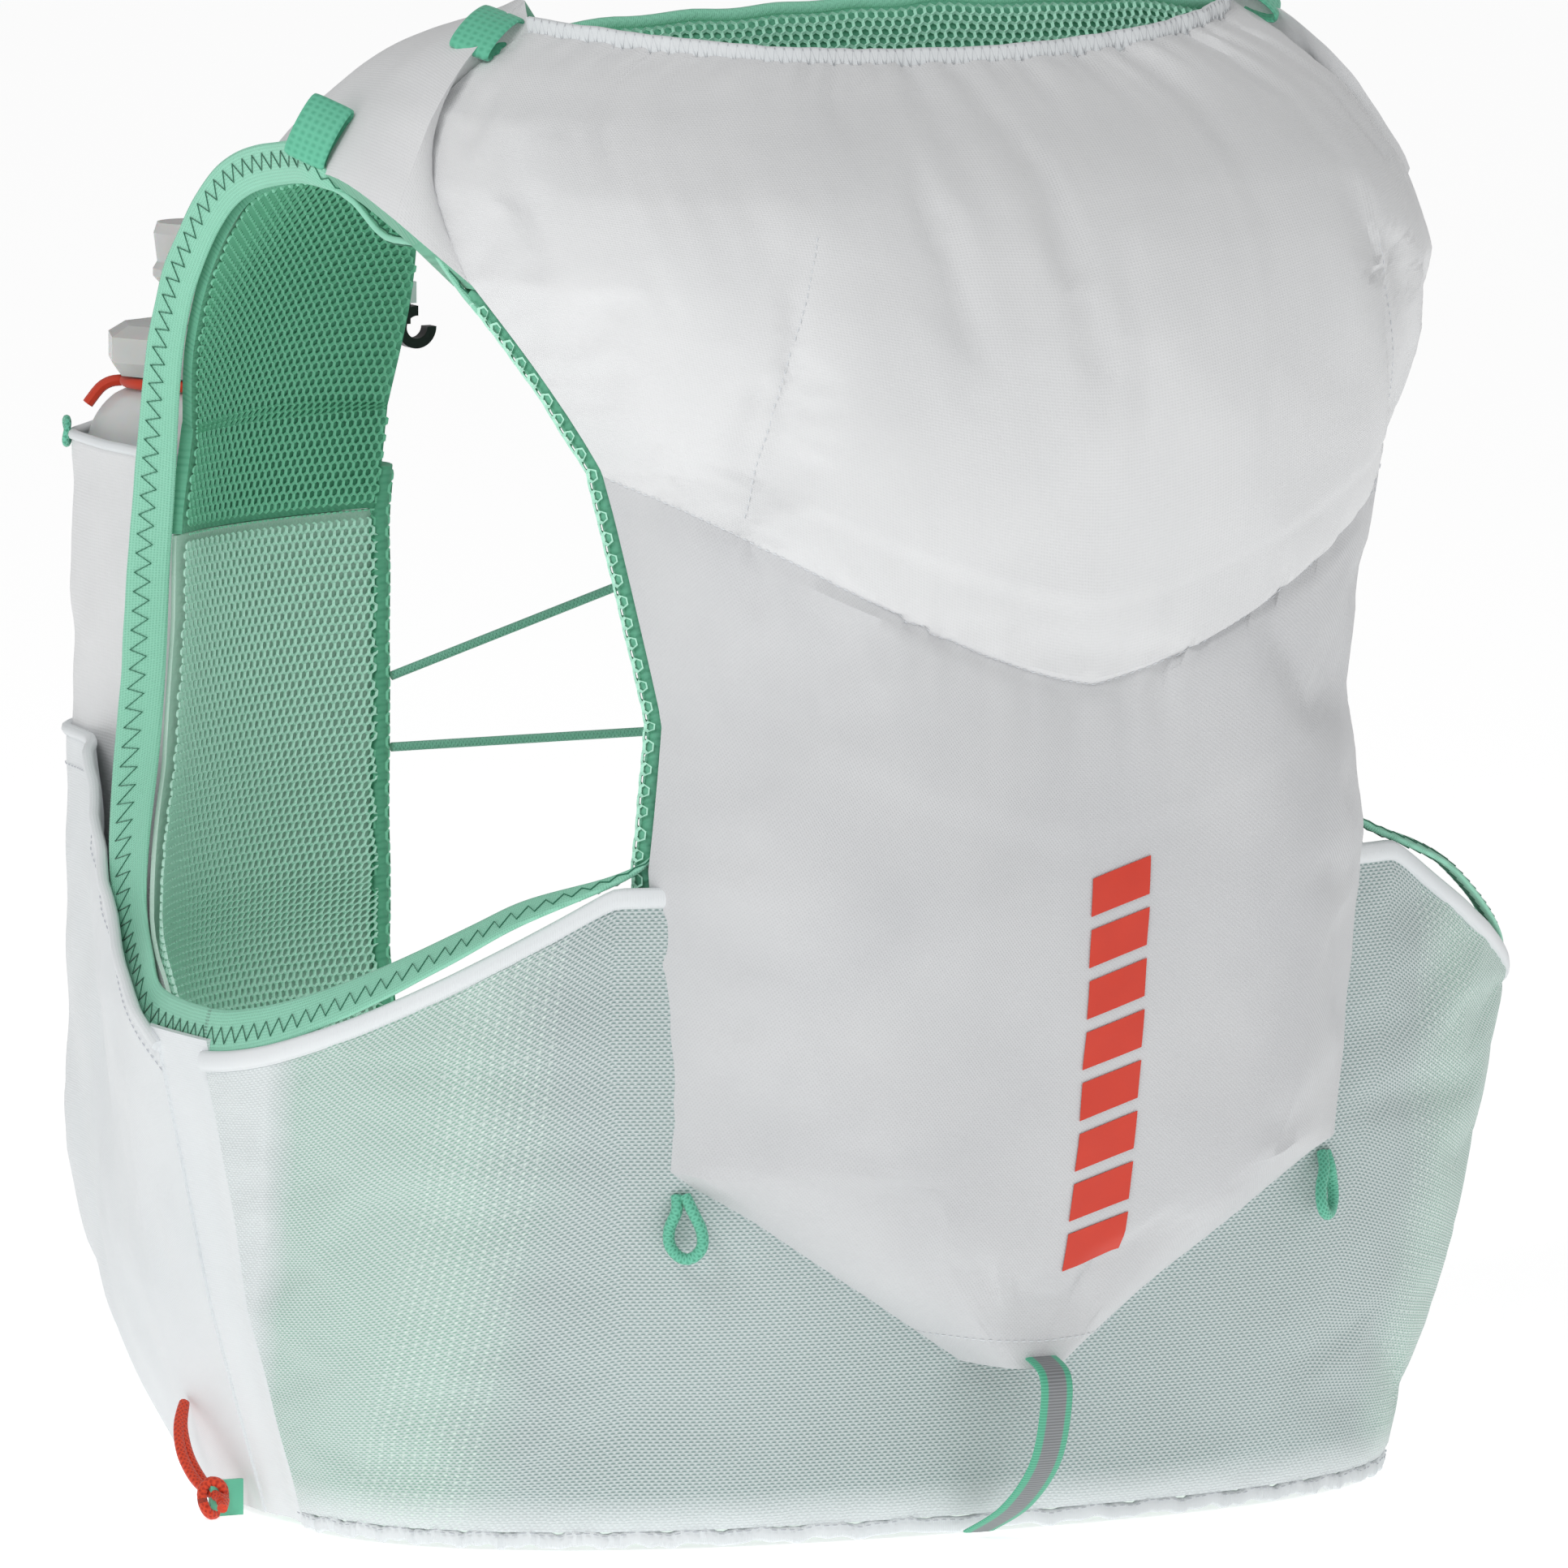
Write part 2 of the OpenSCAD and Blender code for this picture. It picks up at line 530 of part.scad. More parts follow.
// The tab at the foot of the side pocket, and the elastic pole cord that runs through it.
tab_y = side_end + 5;
tab_x = lookup(12, side_rows) + belt_out + fabric_t + layer;
tab_len = 10;
tab_hole = [tab_x + tab_len - 3.6, tab_y, 5.5];
module pole_tab()
    color("mediumseagreen") difference() {
        translate([tab_x, tab_y, 0.4]) cube([tab_len, 1.4, 10]);
        translate(tab_hole) rotate([90, 0, 0]) cylinder(r = pole_cord_d / 2 + 0.4, h = 8, center = true);
    }
pole_route = [
    [3, -6, -2], [0.6, -2.4, -0.4], [0, 0.7, 0], [0.6, 4, 0.8], [2, 9, 4], [3, 15, 10], [2, 21, 17], [-1, 26, 23]
];
module pole_cord() color("orangered") cord(curve([for (p = pole_route) tab_hole + p], 4), pole_cord_d);

// The pole hook turns on a pin in a tab on the strap's inner edge.
hook_at = strap_a[6 * strap_steps] + [-4, 10, -2];
hook_t = 4;
ear_gap = 0.3;
module hook_mount()
    color("whitesmoke") translate(hook_at) {
        translate([0, hook_t / 2 + ear_gap + 1, 0]) rotate([90, 0, 0]) cylinder(r = hook_pin_r, h = hook_t + 2 * ear_gap + 2);
        for (y = [-hook_t / 2 - ear_gap - 1.4, hook_t / 2 + ear_gap]) translate([-3, y, -3]) cube([14, 1.4, 6]);
        translate([8.6, -hook_t / 2 - ear_gap - 5, -3]) cube([2.4, hook_t + 2 * ear_gap + 6.4, 6]);
    }
module pole_hook()
    color("black") translate(hook_at) rotate([90, 0, 0]) difference() {
        linear_extrude(hook_t, center = true) {
            circle(3.4);
            translate([-2, -9]) square([4, 9]);
            difference() {
                translate([-4, -10]) circle(6);
                translate([-4, -10]) circle(3.2);
                translate([-12, -10]) square([7.6, 7]);
            }
        }
        cylinder(r = hook_pin_r + hook_clearance, h = 2 * hook_t, center = true);
    }

// ---- The chest closure ----

chest_low_z = 198;
chest_left_gap = 20;
chest_right_gap = 62;
hook_inner = rail_r + 0.7;
hook_wall = 1.5;
hook_arm = 9;
// The cords are caught in the left rail and end in hooks that lie on the right rail.
module chest_cord(z_left, z_right)
    color("mediumseagreen")
        let (
            l = rail_at(z_left), r = rail_at(z_right),
            a = [layer + rail_r - l[0], l[1], z_left], b = [r[0] - hook_inner - hook_arm - layer, r[1], z_right]
        ) cord([for (t = [0:0.1:1]) mix(a, b, t)], chest_cord_d);
module chest_hook(z)
    translate(rail_at(z)) difference() {
        union() {
            translate([-hook_inner - hook_arm, -2, -3]) cube([hook_arm, 4, 6]);
            cylinder(r = hook_inner + hook_wall, h = 6, center = true);
        }
        cylinder(r = hook_inner, h = 8, center = true);
        translate([-1.2, -9, -4]) cube([12, 18, 8]);
        rotate(232) translate([0, 0, -4]) cube([9, 9, 8]);
    }
module chest_hooks()
    color("black") for (z = [chest_low_z, chest_low_z + chest_right_gap]) chest_hook(z);

// ---- The flask ----

neck_z = flask_z + flask_h;
neck_h = 12;
neck_r = neck_bore_r + 2;
shoulder = 7;
module flask_axis() translate([flask_x, flask_y, 0]) children();
module flask_bag()
    color("gainsboro", 0.6) flask_axis() rotate_extrude() difference() {
        polygon([
            [0, flask_z], [flask_r - 8, flask_z], [flask_r - 2, flask_z + 3], [flask_r, flask_z + 10],
            [flask_r, neck_z - shoulder - 14], [flask_r - 3, neck_z - shoulder], [neck_r + 4, neck_z - 1],
            [neck_r, neck_z], [neck_r, neck_z + neck_h], [0, neck_z + neck_h]
        ]);
        polygon([
            [0, flask_z + flask_wall], [flask_r - 8.5, flask_z + flask_wall],
            [flask_r - 2 - flask_wall, flask_z + 4], [flask_r - flask_wall, flask_z + 10],
            [flask_r - flask_wall, neck_z - shoulder - 14.5], [flask_r - 3 - flask_wall, neck_z - shoulder - 1.5],
            [neck_bore_r + 3, neck_z - 3], [neck_bore_r, neck_z - 1], [neck_bore_r, neck_z + neck_h + 1], [0, neck_z + neck_h + 1]
        ]);
    }
cap_z = neck_z + 4;
cap_bore_r = neck_r + 0.3;
spout_r = 5.5;
module flask_cap()
    color("lightgray", 0.8) flask_axis() translate([0, 0, cap_z]) difference() {
        union() {
            cylinder(r1 = cap_r - 3, r2 = cap_r, h = 4, $fn = 8);
            translate([0, 0, 4]) cylinder(r = cap_r, h = cap_h - 7, $fn = 8);
            translate([0, 0, cap_h - 3]) cylinder(r1 = cap_r, r2 = cap_r - 5, h = 3, $fn = 8);
            cylinder(r = spout_r, h = cap_h + 9);
        }
        translate([0, 0, -1]) cylinder(r = cap_bore_r, h = neck_h - 3);
        cylinder(r = 3, h = cap_h + 20);
    }
valve_gap = 0.3;
module bite_valve()
    color("lightgray", 0.6) flask_axis() translate([0, 0, cap_z + cap_h + valve_gap]) rotate_extrude() difference() {
        polygon([
            [0, 0], [9, 0], [9, 6], [8, 9], [8.4, 11], [10.2, 13], [10.2, 15], [9, 17],
            [10, valve_h - 3], [9, valve_h], [0, valve_h]
        ]);
        polygon([[0, -1], [spout_r + valve_gap, -1], [spout_r + valve_gap, 10], [2.2, 12.5], [2.2, valve_h + 1], [0, valve_h + 1]]);
    }
// An elastic keeper round the flask's neck, with its tail down beside the shoulder.
keeper_z = neck_z + 1.9;
keeper_tail = [[neck_r + 3, 0], [neck_r + 6, -0.4], [neck_r + 9, -2.2], [neck_r + 12.4, -6.6]];
module flask_keeper()
    color("orangered") flask_axis() {
        translate([0, 0, keeper_z]) rotate_extrude() translate([neck_r + layer + pole_cord_d / 2, 0]) circle(pole_cord_d / 2);
        cord(curve([for (p = keeper_tail) [0.9 * p[0], 0.44 * p[0], keeper_z + p[1]]], 3), pole_cord_d);
    }

module right_side(which) {
    if (which == "side_strip") side_strip();
    if (which == "strap_shoulder") strap_shoulder();
    if (which == "strap_back") strap_back();
    if (which == "neck_loop") neck_loop();
    if (which == "armhole_tape_back") armhole_tape_back();
    if (which == "corner_loop") corner_loop();
    if (which == "front_lining") front_lining();
    if (which == "strap_front") strap_front();
    if (which == "armhole_tape_front") armhole_tape_front();
    if (which == "shoulder_loop") shoulder_loop();
    if (which == "flask_pocket") flask_pocket();
    if (which == "side_pocket") side_pocket();
    if (which == "front_rail") front_rail();
    if (which == "zip_tape") zip_tape();
    if (which == "zip_slider") zip_slider();
    if (which == "pocket_pull") pocket_pull();
    if (which == "pole_tab") pole_tab();
    if (which == "pole_cord") pole_cord();
    if (which == "hook_mount") hook_mount();
    if (which == "pole_hook") pole_hook();
    if (which == "flask_bag") flask_bag();
    if (which == "flask_keeper") flask_keeper();
    if (which == "flask_cap") flask_cap();
    if (which == "bite_valve") bite_valve();
}
PAIRED = [
    "side_strip", "strap_shoulder", "strap_back", "neck_loop", "armhole_tape_back", "corner_loop", "front_lining", "strap_front",
    "armhole_tape_front", "shoulder_loop", "flask_pocket", "side_pocket", "front_rail", "zip_tape",
    "zip_slider", "pocket_pull", "pole_tab", "pole_cord", "hook_mount", "pole_hook", "flask_bag",
    "flask_keeper", "flask_cap", "bite_valve"
];

back_lining();
upper_shell();
lower_shell();
mouth_binding();
belt_lining();
belt_mesh();
hem_tape();
reflective_strip();
chest_cord(chest_low_z + chest_left_gap, chest_low_z + chest_right_gap);  // chest_cord_upper
chest_cord(chest_low_z, chest_low_z);  // chest_cord_lower
chest_hooks();
for (name = PAIRED) {
    right_side(name);
    mirror([1, 0, 0]) right_side(name);
}
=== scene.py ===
"""A running vest: white woven back, green spacer mesh, stretch belt, two soft flasks, elastic cords."""
import bpy
import math
import numpy as np
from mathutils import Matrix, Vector, noise
from mathutils.bvhtree import BVHTree


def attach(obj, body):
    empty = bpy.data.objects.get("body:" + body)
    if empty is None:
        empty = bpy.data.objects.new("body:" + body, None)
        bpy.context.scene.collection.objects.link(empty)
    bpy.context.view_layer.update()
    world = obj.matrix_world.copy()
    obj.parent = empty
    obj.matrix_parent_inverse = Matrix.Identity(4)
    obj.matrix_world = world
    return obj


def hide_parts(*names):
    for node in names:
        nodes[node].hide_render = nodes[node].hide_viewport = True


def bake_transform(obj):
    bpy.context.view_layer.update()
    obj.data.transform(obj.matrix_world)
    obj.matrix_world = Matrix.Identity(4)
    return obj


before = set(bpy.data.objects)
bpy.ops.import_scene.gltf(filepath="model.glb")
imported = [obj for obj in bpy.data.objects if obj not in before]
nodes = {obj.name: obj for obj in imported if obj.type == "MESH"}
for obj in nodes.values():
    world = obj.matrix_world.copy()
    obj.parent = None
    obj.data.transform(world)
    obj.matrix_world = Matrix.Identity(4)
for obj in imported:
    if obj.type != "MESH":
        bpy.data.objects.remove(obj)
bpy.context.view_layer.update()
scene = bpy.context.scene
MM = 0.001
SIDES = {"right": 1, "left": -1}

# ---- Camera ----

camera = bpy.data.objects.new("camera", bpy.data.cameras.new("camera"))
scene.collection.objects.link(camera)
back_off = Vector((-0.4506, -0.8844, 0.1219)).normalized()
camera.location = Vector((-0.0074, 0.0038, 0.1960)) + back_off * 8
camera.rotation_euler = (-back_off).to_track_quat("-Z", "Y").to_euler()
camera.data.sensor_width = 36
camera.data.lens = 663.3
camera.data.clip_end = 50
scene.camera = camera

# ---- The vest's sizes, in millimetres ----

SIDE = [(0, 155), (60.6, 172), (141, 189), (272, 189), (322, 185), (350, 165), (372, 153), (415, 120)]
BACK = [(0, 90), (50, 102), (107, 116), (191, 124), (300, 114), (350, 96), (372, 84), (415, 58), (430, 52)]
CHEST = [(0, 104), (60, 116), (121, 122), (262, 122), (322, 112), (372, 80), (415, 42)]
EDGE = [(0, 100), (107, 104), (191, 110), (231, 105), (300, 118), (350, 141), (372, 131), (395, 114), (424, 98)]
PANEL_EDGE = [(107, 104), (191, 110), (231, 105), (300, 118), (350, 142), (374, 144), (392, 139), (404, 124),
              (414, 107)]
BULGE = [(50, 33.1), (107, 35), (242, 46), (330, 62.6), (372, 55.2), (406, 28.5)]
FRONT_EDGE = [(3, 93.7), (135, 93.7), (149, 99), (165, 111), (201, 122), (241, 126), (298, 127)]
SHELL_LIFT, BELT_LIFT, SIDE_TH, RAIL_TH = 9.2, 7.2, 86.3, 160
FLASK = (123, 142)
MOUTH_Z = 414


def look(v, rows):
    return float(np.interp(v, [r[0] for r in rows], [r[1] for r in rows]))


def mix(a, b, t):
    return a + (b - a) * t


def power(v, p):
    return math.copysign(abs(v) ** p, v)


def smooth(t):
    t = min(max(t, 0.0), 1.0)
    return t * t * (3 - 2 * t)


def unit(v):
    v = np.asarray(v, float)
    return v / max(np.linalg.norm(v), 1e-9)


def section(th, z, off=0.0):
    """A point of the vest's outline at height z; th turns from the back's middle to the wearer's right."""
    a = math.radians(th)
    deep = look(z, BACK) if math.cos(a) > 0 else look(z, CHEST)
    x = (look(z, SIDE) + off) * power(math.sin(a), 0.8)
    return np.array([x, -(deep + off) * power(math.cos(a), 0.8), z])


def across(x, a):
    return max(0.0, 1 - min(1.0, abs(x / a)) ** 2.5) ** 0.4


def back_y(x, z, off=0.0):
    return -(look(z, BACK) + off) * across(x, look(z, SIDE) + off)


def chest_y(x, z, off=0.0):
    return (look(z, CHEST) + off) * across(x, look(z, SIDE) + off)


def shell_half(z):
    return mix(13, 104, (z - 50) / 57) if z < 107 else look(z, PANEL_EDGE)


def shell_line(s, z, off=0.0):
    """A point of the white back panel: s runs from the left edge, -1, to the right edge, 1."""
    x = s * shell_half(z)
    out = (look(z, BULGE) - SHELL_LIFT) * (1 - abs(s) ** 4.5)
    drop = 9 * (1 - s * s) * (z - 372) / 43 if z > 372 else 0
    return np.array([x, back_y(x, z, SHELL_LIFT + off) - out, z - drop])


def shell_point(s, z, off=0.0):
    """The same panel with its depth rounded over a few centimetres."""
    x, y, height = shell_line(s, z, off)
    return np.array([x, np.mean([shell_line(s, z + d, off)[1] for d in (-14, -7, 0, 7, 14)]), height])


def seam_z(s):
    return 242 + 56 * abs(s) ** 1.5


def back_point(s, z, off=0.0):
    x = s * look(z, EDGE)
    return np.array([x, back_y(x, z, off), z])


def belt_top(th):
    t = min(1.0, abs(th) / 90)
    return 133 + (52 if t < 0.36 else 52 * (1 - (t - 0.36) / 0.64) ** 1.8)


def curve(points, steps):
    """A smooth curve through points, with steps between each two of them."""
    p = [np.array(q, float) for q in points]
    made = []
    for i in range(len(p) - 1):
        a, b, c, d = p[max(i - 1, 0)], p[i], p[i + 1], p[min(i + 2, len(p) - 1)]
        for k in range(steps + (i == len(p) - 2)):
            t = k / steps
            made.append(0.5 * (2 * b + (c - a) * t + (2 * a - 5 * b + 4 * c - d) * t * t
                               + (3 * b - a - 3 * c + d) * t ** 3))
    return np.array(made)


def even(points, step, closed=False):
    """The same path with its points a step apart."""
    p = np.array(points, float)
    if closed:
        p = np.vstack([p, p[:1]])
    run = np.concatenate([[0], np.cumsum(np.linalg.norm(np.diff(p, axis=0), axis=1))])
    n = max(2, int(round(run[-1] / step)))
    at = np.linspace(0, run[-1], n + 1)[: n if closed else n + 1]
    return np.stack([np.interp(at, run, p[:, k]) for k in range(p.shape[1])], 1)


STRAP_STEPS = 6
STRAP_INNER = [(98, -44, 413), (100, -28, 416), (100, -13, 416), (99, 16, 411), (95, 40, 396), (88, 70, 365),
               (80, 94, 329), section(160, 297.2)]
STRAP_OUTER = [(145, -79, 345), (152, -54, 360), (154, -13, 372), (155, 16, 371), (157, 40, 363),
               (159, 58, 343), (159, 70, 319), section(127, 297.2)]
STRAP_CROWN = [5, 8, 9, 9, 8, 7, 6.5, 6.3]
STRAP_A, STRAP_B = curve(STRAP_INNER, STRAP_STEPS), curve(STRAP_OUTER, STRAP_STEPS)


def strap_normal(k):
    i, j = max(k - 1, 0), min(k + 1, len(STRAP_A) - 1)
    return unit(np.cross(STRAP_B[k] - STRAP_A[k], STRAP_A[j] + STRAP_B[j] - STRAP_A[i] - STRAP_B[i]))


def strap_point(k, s, off=0.0):
    """k counts the strap's cross lines from the back, s runs from the neck to the armhole."""
    crown = float(np.interp(k / STRAP_STEPS, range(8), STRAP_CROWN))
    return mix(STRAP_A[k], STRAP_B[k], s) + strap_normal(k) * (4 * s * (1 - s) * crown + off)


def ripple(p, size, seed=0.0):
    """Soft unevenness from -1 to 1, with lumps of about this size in millimetres."""
    return noise.noise(Vector((p[0] / size + seed, p[1] / size, p[2] / size - seed)))


# ---- Finishes ----


def srgb(r, g, b):
    return tuple(((c / 12.92) if c <= 0.04045 else ((c + 0.055) / 1.055) ** 2.4) for c in (r, g, b)) + (1.0,)


class Finish:
    """One material, built from nodes: patterns read the cloth's own UV in metres or Object coordinates."""

    def __init__(self, name):
        self.material = bpy.data.materials.new(name)
        self.material.use_nodes = True
        self.tree = self.material.node_tree
        self.shader = self.tree.nodes["Principled BSDF"]
        self.height = None

    def node(self, kind, inputs=None, **settings):
        n = self.tree.nodes.new(kind)
        for key, value in settings.items():
            setattr(n, key, value)
        for key, value in (inputs or {}).items():
            if isinstance(value, bpy.types.NodeSocket):
                self.tree.links.new(value, n.inputs[key])
            else:
                n.inputs[key].default_value = value
        return n

    def maths(self, operation, a, b=0.0, clamp=False):
        return self.node("ShaderNodeMath", {0: a, 1: b}, operation=operation, use_clamp=clamp).outputs[0]

    def cloth_uv(self):
        uv = self.node("ShaderNodeUVMap", uv_map="cloth").outputs[0]
        split = self.node("ShaderNodeSeparateXYZ", {0: uv})
        return split.outputs[0], split.outputs[1]

    def object_xyz(self):
        return self.node("ShaderNodeTexCoord").outputs["Object"]

    def noise(self, size_mm, detail=3.0, rough=0.5):
        n = self.node("ShaderNodeTexNoise", {"Vector": self.object_xyz(), "Scale": 1000 / size_mm,
                                             "Detail": detail,
                                             "Roughness": rough})
        return n.outputs[0]

    def wave(self, coordinate, pitch_mm, turn=0.0):
        """0 to 1 and back over one pitch."""
        angle = self.maths("ADD", self.maths("MULTIPLY", coordinate, 2000 * math.pi / pitch_mm), turn)
        return self.maths("ADD", self.maths("MULTIPLY", self.maths("SINE", angle), 0.5), 0.5)

    def blend(self, share, a, b):
        n = self.node("ShaderNodeMix", data_type="RGBA")
        for key, value in ((0, share), (6, a), (7, b)):
            if isinstance(value, bpy.types.NodeSocket):
                self.tree.links.new(value, n.inputs[key])
            else:
                n.inputs[key].default_value = value
        return n.outputs[2]

    def bump(self, height, depth_mm, strength=1.0):
        made = {"Height": height, "Distance": depth_mm * MM, "Strength": strength}
        if self.height is not None:
            made["Normal"] = self.height
        self.height = self.node("ShaderNodeBump", made).outputs[0]

    def done(self, colour, rough, **fixed):
        for key, value in (("Base Color", colour), ("Roughness", rough)):
            if isinstance(value, bpy.types.NodeSocket):
                self.tree.links.new(value, self.shader.inputs[key])
            else:
                self.shader.inputs[key].default_value = value
        for key, value in fixed.items():
            self.shader.inputs[key.replace("_", " ").title().replace("Ior", "IOR")].default_value = value
        if self.height is not None:
            self.tree.links.new(self.height, self.shader.inputs["Normal"])
        return self.material


def woven(name, colour, shade, pitch=0.9, slant=False):
    """Light woven cloth: threads over and under, a faint mottling and a soft lustre."""
    f = Finish(name)
    u, v = f.cloth_uv()
    if slant:
        u, v = f.maths("ADD", u, v), f.maths("SUBTRACT", u, v)
    threads = f.maths("MULTIPLY", f.wave(u, pitch), f.wave(v, pitch))
    f.bump(f.noise(28, 2.0), 1.2, 0.35)
    f.bump(f.noise(6, 3.0), 0.3, 0.25)
    f.bump(threads, 0.12, 0.6)
    mottle = f.noise(45, 4.0)
    base = f.blend(mottle, shade, colour)
    worn = f.blend(f.maths("MULTIPLY", threads, 0.22), base, shade)
    return f.done(worn, f.maths("ADD", f.maths("MULTIPLY", f.noise(3), 0.12), 0.62), sheen_weight=0.25,
                  sheen_roughness=0.4, specular_ior_level=0.35)


def stretch_mesh(name):
    """Fine stretch mesh: rows of tiny holes that let the pale green layer behind tint it."""
    f = Finish(name)
    u, v = f.cloth_uv()
    pitch = 1.9
    row = f.maths("DIVIDE", v, pitch * MM * 0.5)
    odd = f.maths("MULTIPLY", f.maths("FLOORED_MODULO", f.maths("FLOOR", row), 2.0), 0.5 * pitch * MM)
    holes = f.maths("MULTIPLY", f.wave(f.maths("ADD", u, odd), pitch), f.wave(v, pitch * 0.5))
    holes = f.maths("SMOOTH_MIN", f.maths("MULTIPLY", holes, 1.6), 1.0)
    xyz = f.object_xyz()
    split = f.node("ShaderNodeSeparateXYZ", {0: xyz})
    soft = f.maths("MULTIPLY", f.maths("SUBTRACT", f.noise(60, 2.0), 0.5), 0.03)
    reach = f.maths("ADD", f.maths("ABSOLUTE", u), soft)
    outer = f.node("ShaderNodeMapRange", {"Value": reach, "From Min": 0.134, "From Max": 0.160}).outputs[0]
    edge = f.node("ShaderNodeMapRange", {"Value": f.maths("ABSOLUTE", u), "From Min": 0.222, "From Max": 0.236,
                                         "To Min": 1.0, "To Max": 0.0}).outputs[0]
    panel = f.maths("MULTIPLY", outer, edge)
    low = f.node("ShaderNodeMapRange", {"Value": split.outputs[2], "From Min": 0.004,
                                        "From Max": 0.016}).outputs[0]
    green = f.blend(f.noise(50, 2.0), srgb(0.48, 0.69, 0.60), srgb(0.62, 0.77, 0.71))
    grey = f.blend(f.noise(70, 2.0), srgb(0.40, 0.52, 0.50), srgb(0.56, 0.66, 0.65))
    behind = f.blend(panel, grey, green)
    white = srgb(0.93, 0.95, 0.955)
    through = f.maths("MULTIPLY", f.maths("ADD", f.maths("MULTIPLY", holes, 0.62), 0.34), low)
    through = f.maths("MULTIPLY", through, f.maths("ADD", f.maths("MULTIPLY", edge, 0.75), 0.25))
    base = f.blend(through, white, behind)
    slant = f.maths("SUBTRACT", f.maths("ABSOLUTE", u),
                    f.maths("MULTIPLY", f.maths("SUBTRACT", 0.12, split.outputs[2]), 0.08))
    dots = f.maths("MULTIPLY", f.wave(slant, 3.6), f.wave(v, 2.4))
    dots = f.node("ShaderNodeMapRange", {"Value": dots, "From Min": 0.68, "From Max": 0.9}).outputs[0]
    first = f.node("ShaderNodeMapRange", {"Value": slant, "From Min": 0.138, "From Max": 0.142}).outputs[0]
    last = f.node("ShaderNodeMapRange", {"Value": slant, "From Min": 0.172, "From Max": 0.182, "To Min": 0.75,
                                         "To Max": 0.0}).outputs[0]
    base = f.blend(f.maths("MULTIPLY", f.maths("MULTIPLY", dots, first), last), base, srgb(0.90, 0.96, 0.93))
    f.bump(f.noise(24, 2.0), 1.0, 0.35)
    f.bump(holes, -0.25, 0.8)
    return f.done(base, 0.6, sheen_weight=0.2, sheen_roughness=0.5, specular_ior_level=0.35)


def knit(name, colour, shade, pitch=1.1, ribs=True, gloss=0.62):
    """Elastic tape: fine ribs along its length and a slight sheen."""
    f = Finish(name)
    u, v = f.cloth_uv()
    rib = f.wave(u, pitch) if ribs else f.wave(f.maths("ADD", u, v), pitch)
    loop = f.wave(v, pitch * 0.8)
    f.bump(f.noise(14, 2.0), 0.5, 0.4)
    f.bump(f.maths("MULTIPLY", rib, loop), 0.2, 0.7)
    base = f.blend(f.maths("MULTIPLY", f.maths("MULTIPLY", rib, loop), 0.8), colour, shade)
    return f.done(f.blend(f.maths("MULTIPLY", f.noise(30, 3.0), 0.5), base, shade), gloss, sheen_weight=0.3,
                  sheen_roughness=0.4, specular_ior_level=0.3)


def braid(name, colour, shade, pitch=1.6):
    """Round braided elastic: two slanting families of threads."""
    f = Finish(name)
    u, v = f.cloth_uv()
    one = f.wave(f.maths("ADD", v, f.maths("MULTIPLY", u, 1.3)), pitch)
    two = f.wave(f.maths("SUBTRACT", v, f.maths("MULTIPLY", u, 1.3)), pitch)
    plait = f.maths("MAXIMUM", one, two)
    f.bump(plait, 0.3, 0.8)
    # The grooves between the strands take the darker colour: painted shade in the recesses.
    return f.done(f.blend(plait, shade, colour), 0.6, sheen_weight=0.2, specular_ior_level=0.35)


def moulded(name, colour, shade, rough, size=5, **fixed):
    """Moulded plastic or metal with a fine uneven skin."""
    f = Finish(name)
    f.bump(f.noise(size, 3.0), 0.12, 0.3)
    skin = f.maths("ADD", f.maths("MULTIPLY", f.noise(size * 2), 0.16), rough - 0.08)
    return f.done(f.blend(f.noise(size * 4, 3.0), shade, colour), skin, **fixed)


def frosted(name, colour, shade, clear, rough):
    """Cloudy film or silicone: lit through from behind, with a waxy surface."""
    f = Finish(name)
    f.bump(f.noise(16, 2.0), 0.8, 0.4)
    return f.done(f.blend(f.noise(20, 3.0), shade, colour), rough, alpha=clear, subsurface_weight=0.35,
                  subsurface_scale=0.01, specular_ior_level=0.5)


WHITE, WHITE_SHADE = srgb(0.925, 0.927, 0.93), srgb(0.87, 0.875, 0.88)
white_cloth = woven("white woven cloth", WHITE, WHITE_SHADE)
# The lower panel's slanted weave is its own white, painted darker still as shade, as though the light falls
# from above.
white_fine_shaded = woven("white fine cloth with painted shade", srgb(0.855, 0.858, 0.862), srgb(0.775, 0.78, 0.79), 1.1, True)
white_stretch = stretch_mesh("white stretch mesh")
white_plain = woven("white stretch cloth", srgb(0.93, 0.94, 0.945), srgb(0.88, 0.90, 0.91), 0.7)
grey_cloth = woven("grey inner cloth", srgb(0.84, 0.86, 0.85), srgb(0.77, 0.80, 0.78), 1.2)
# The chest lining and its net are their own pale mint, painted lighter still: painted light standing in for
# light that does not reach inside the chest, and the net is a lighter copy of the back's spacer net.
mint_cloth_lit = woven("mint inner cloth, painted lighter", srgb(0.88, 0.96, 0.92), srgb(0.81, 0.92, 0.87), 1.2)
mint_net_lit = knit("mint spacer net, painted lighter", srgb(0.86, 0.99, 0.94), srgb(0.76, 0.95, 0.87), 0.6, False, 0.65)
green_ground = knit("green spacer ground", srgb(0.45, 0.73, 0.61), srgb(0.36, 0.65, 0.53), 2.4, False, 0.8)
green_net = knit("green spacer net", srgb(0.78, 0.97, 0.89), srgb(0.68, 0.92, 0.82), 0.6, False, 0.65)
green_net_deep = knit("green spacer net, deep", srgb(0.60, 0.88, 0.76), srgb(0.50, 0.81, 0.68), 0.6, False, 0.7)
green_tape = knit("green elastic tape", srgb(0.62, 0.87, 0.77), srgb(0.52, 0.80, 0.68), 0.9)
green_band = knit("pale green elastic", srgb(0.68, 0.90, 0.80), srgb(0.56, 0.82, 0.71), 1.6)
green_webbing = knit("green webbing", srgb(0.45, 0.80, 0.67), srgb(0.33, 0.68, 0.55), 2.2)
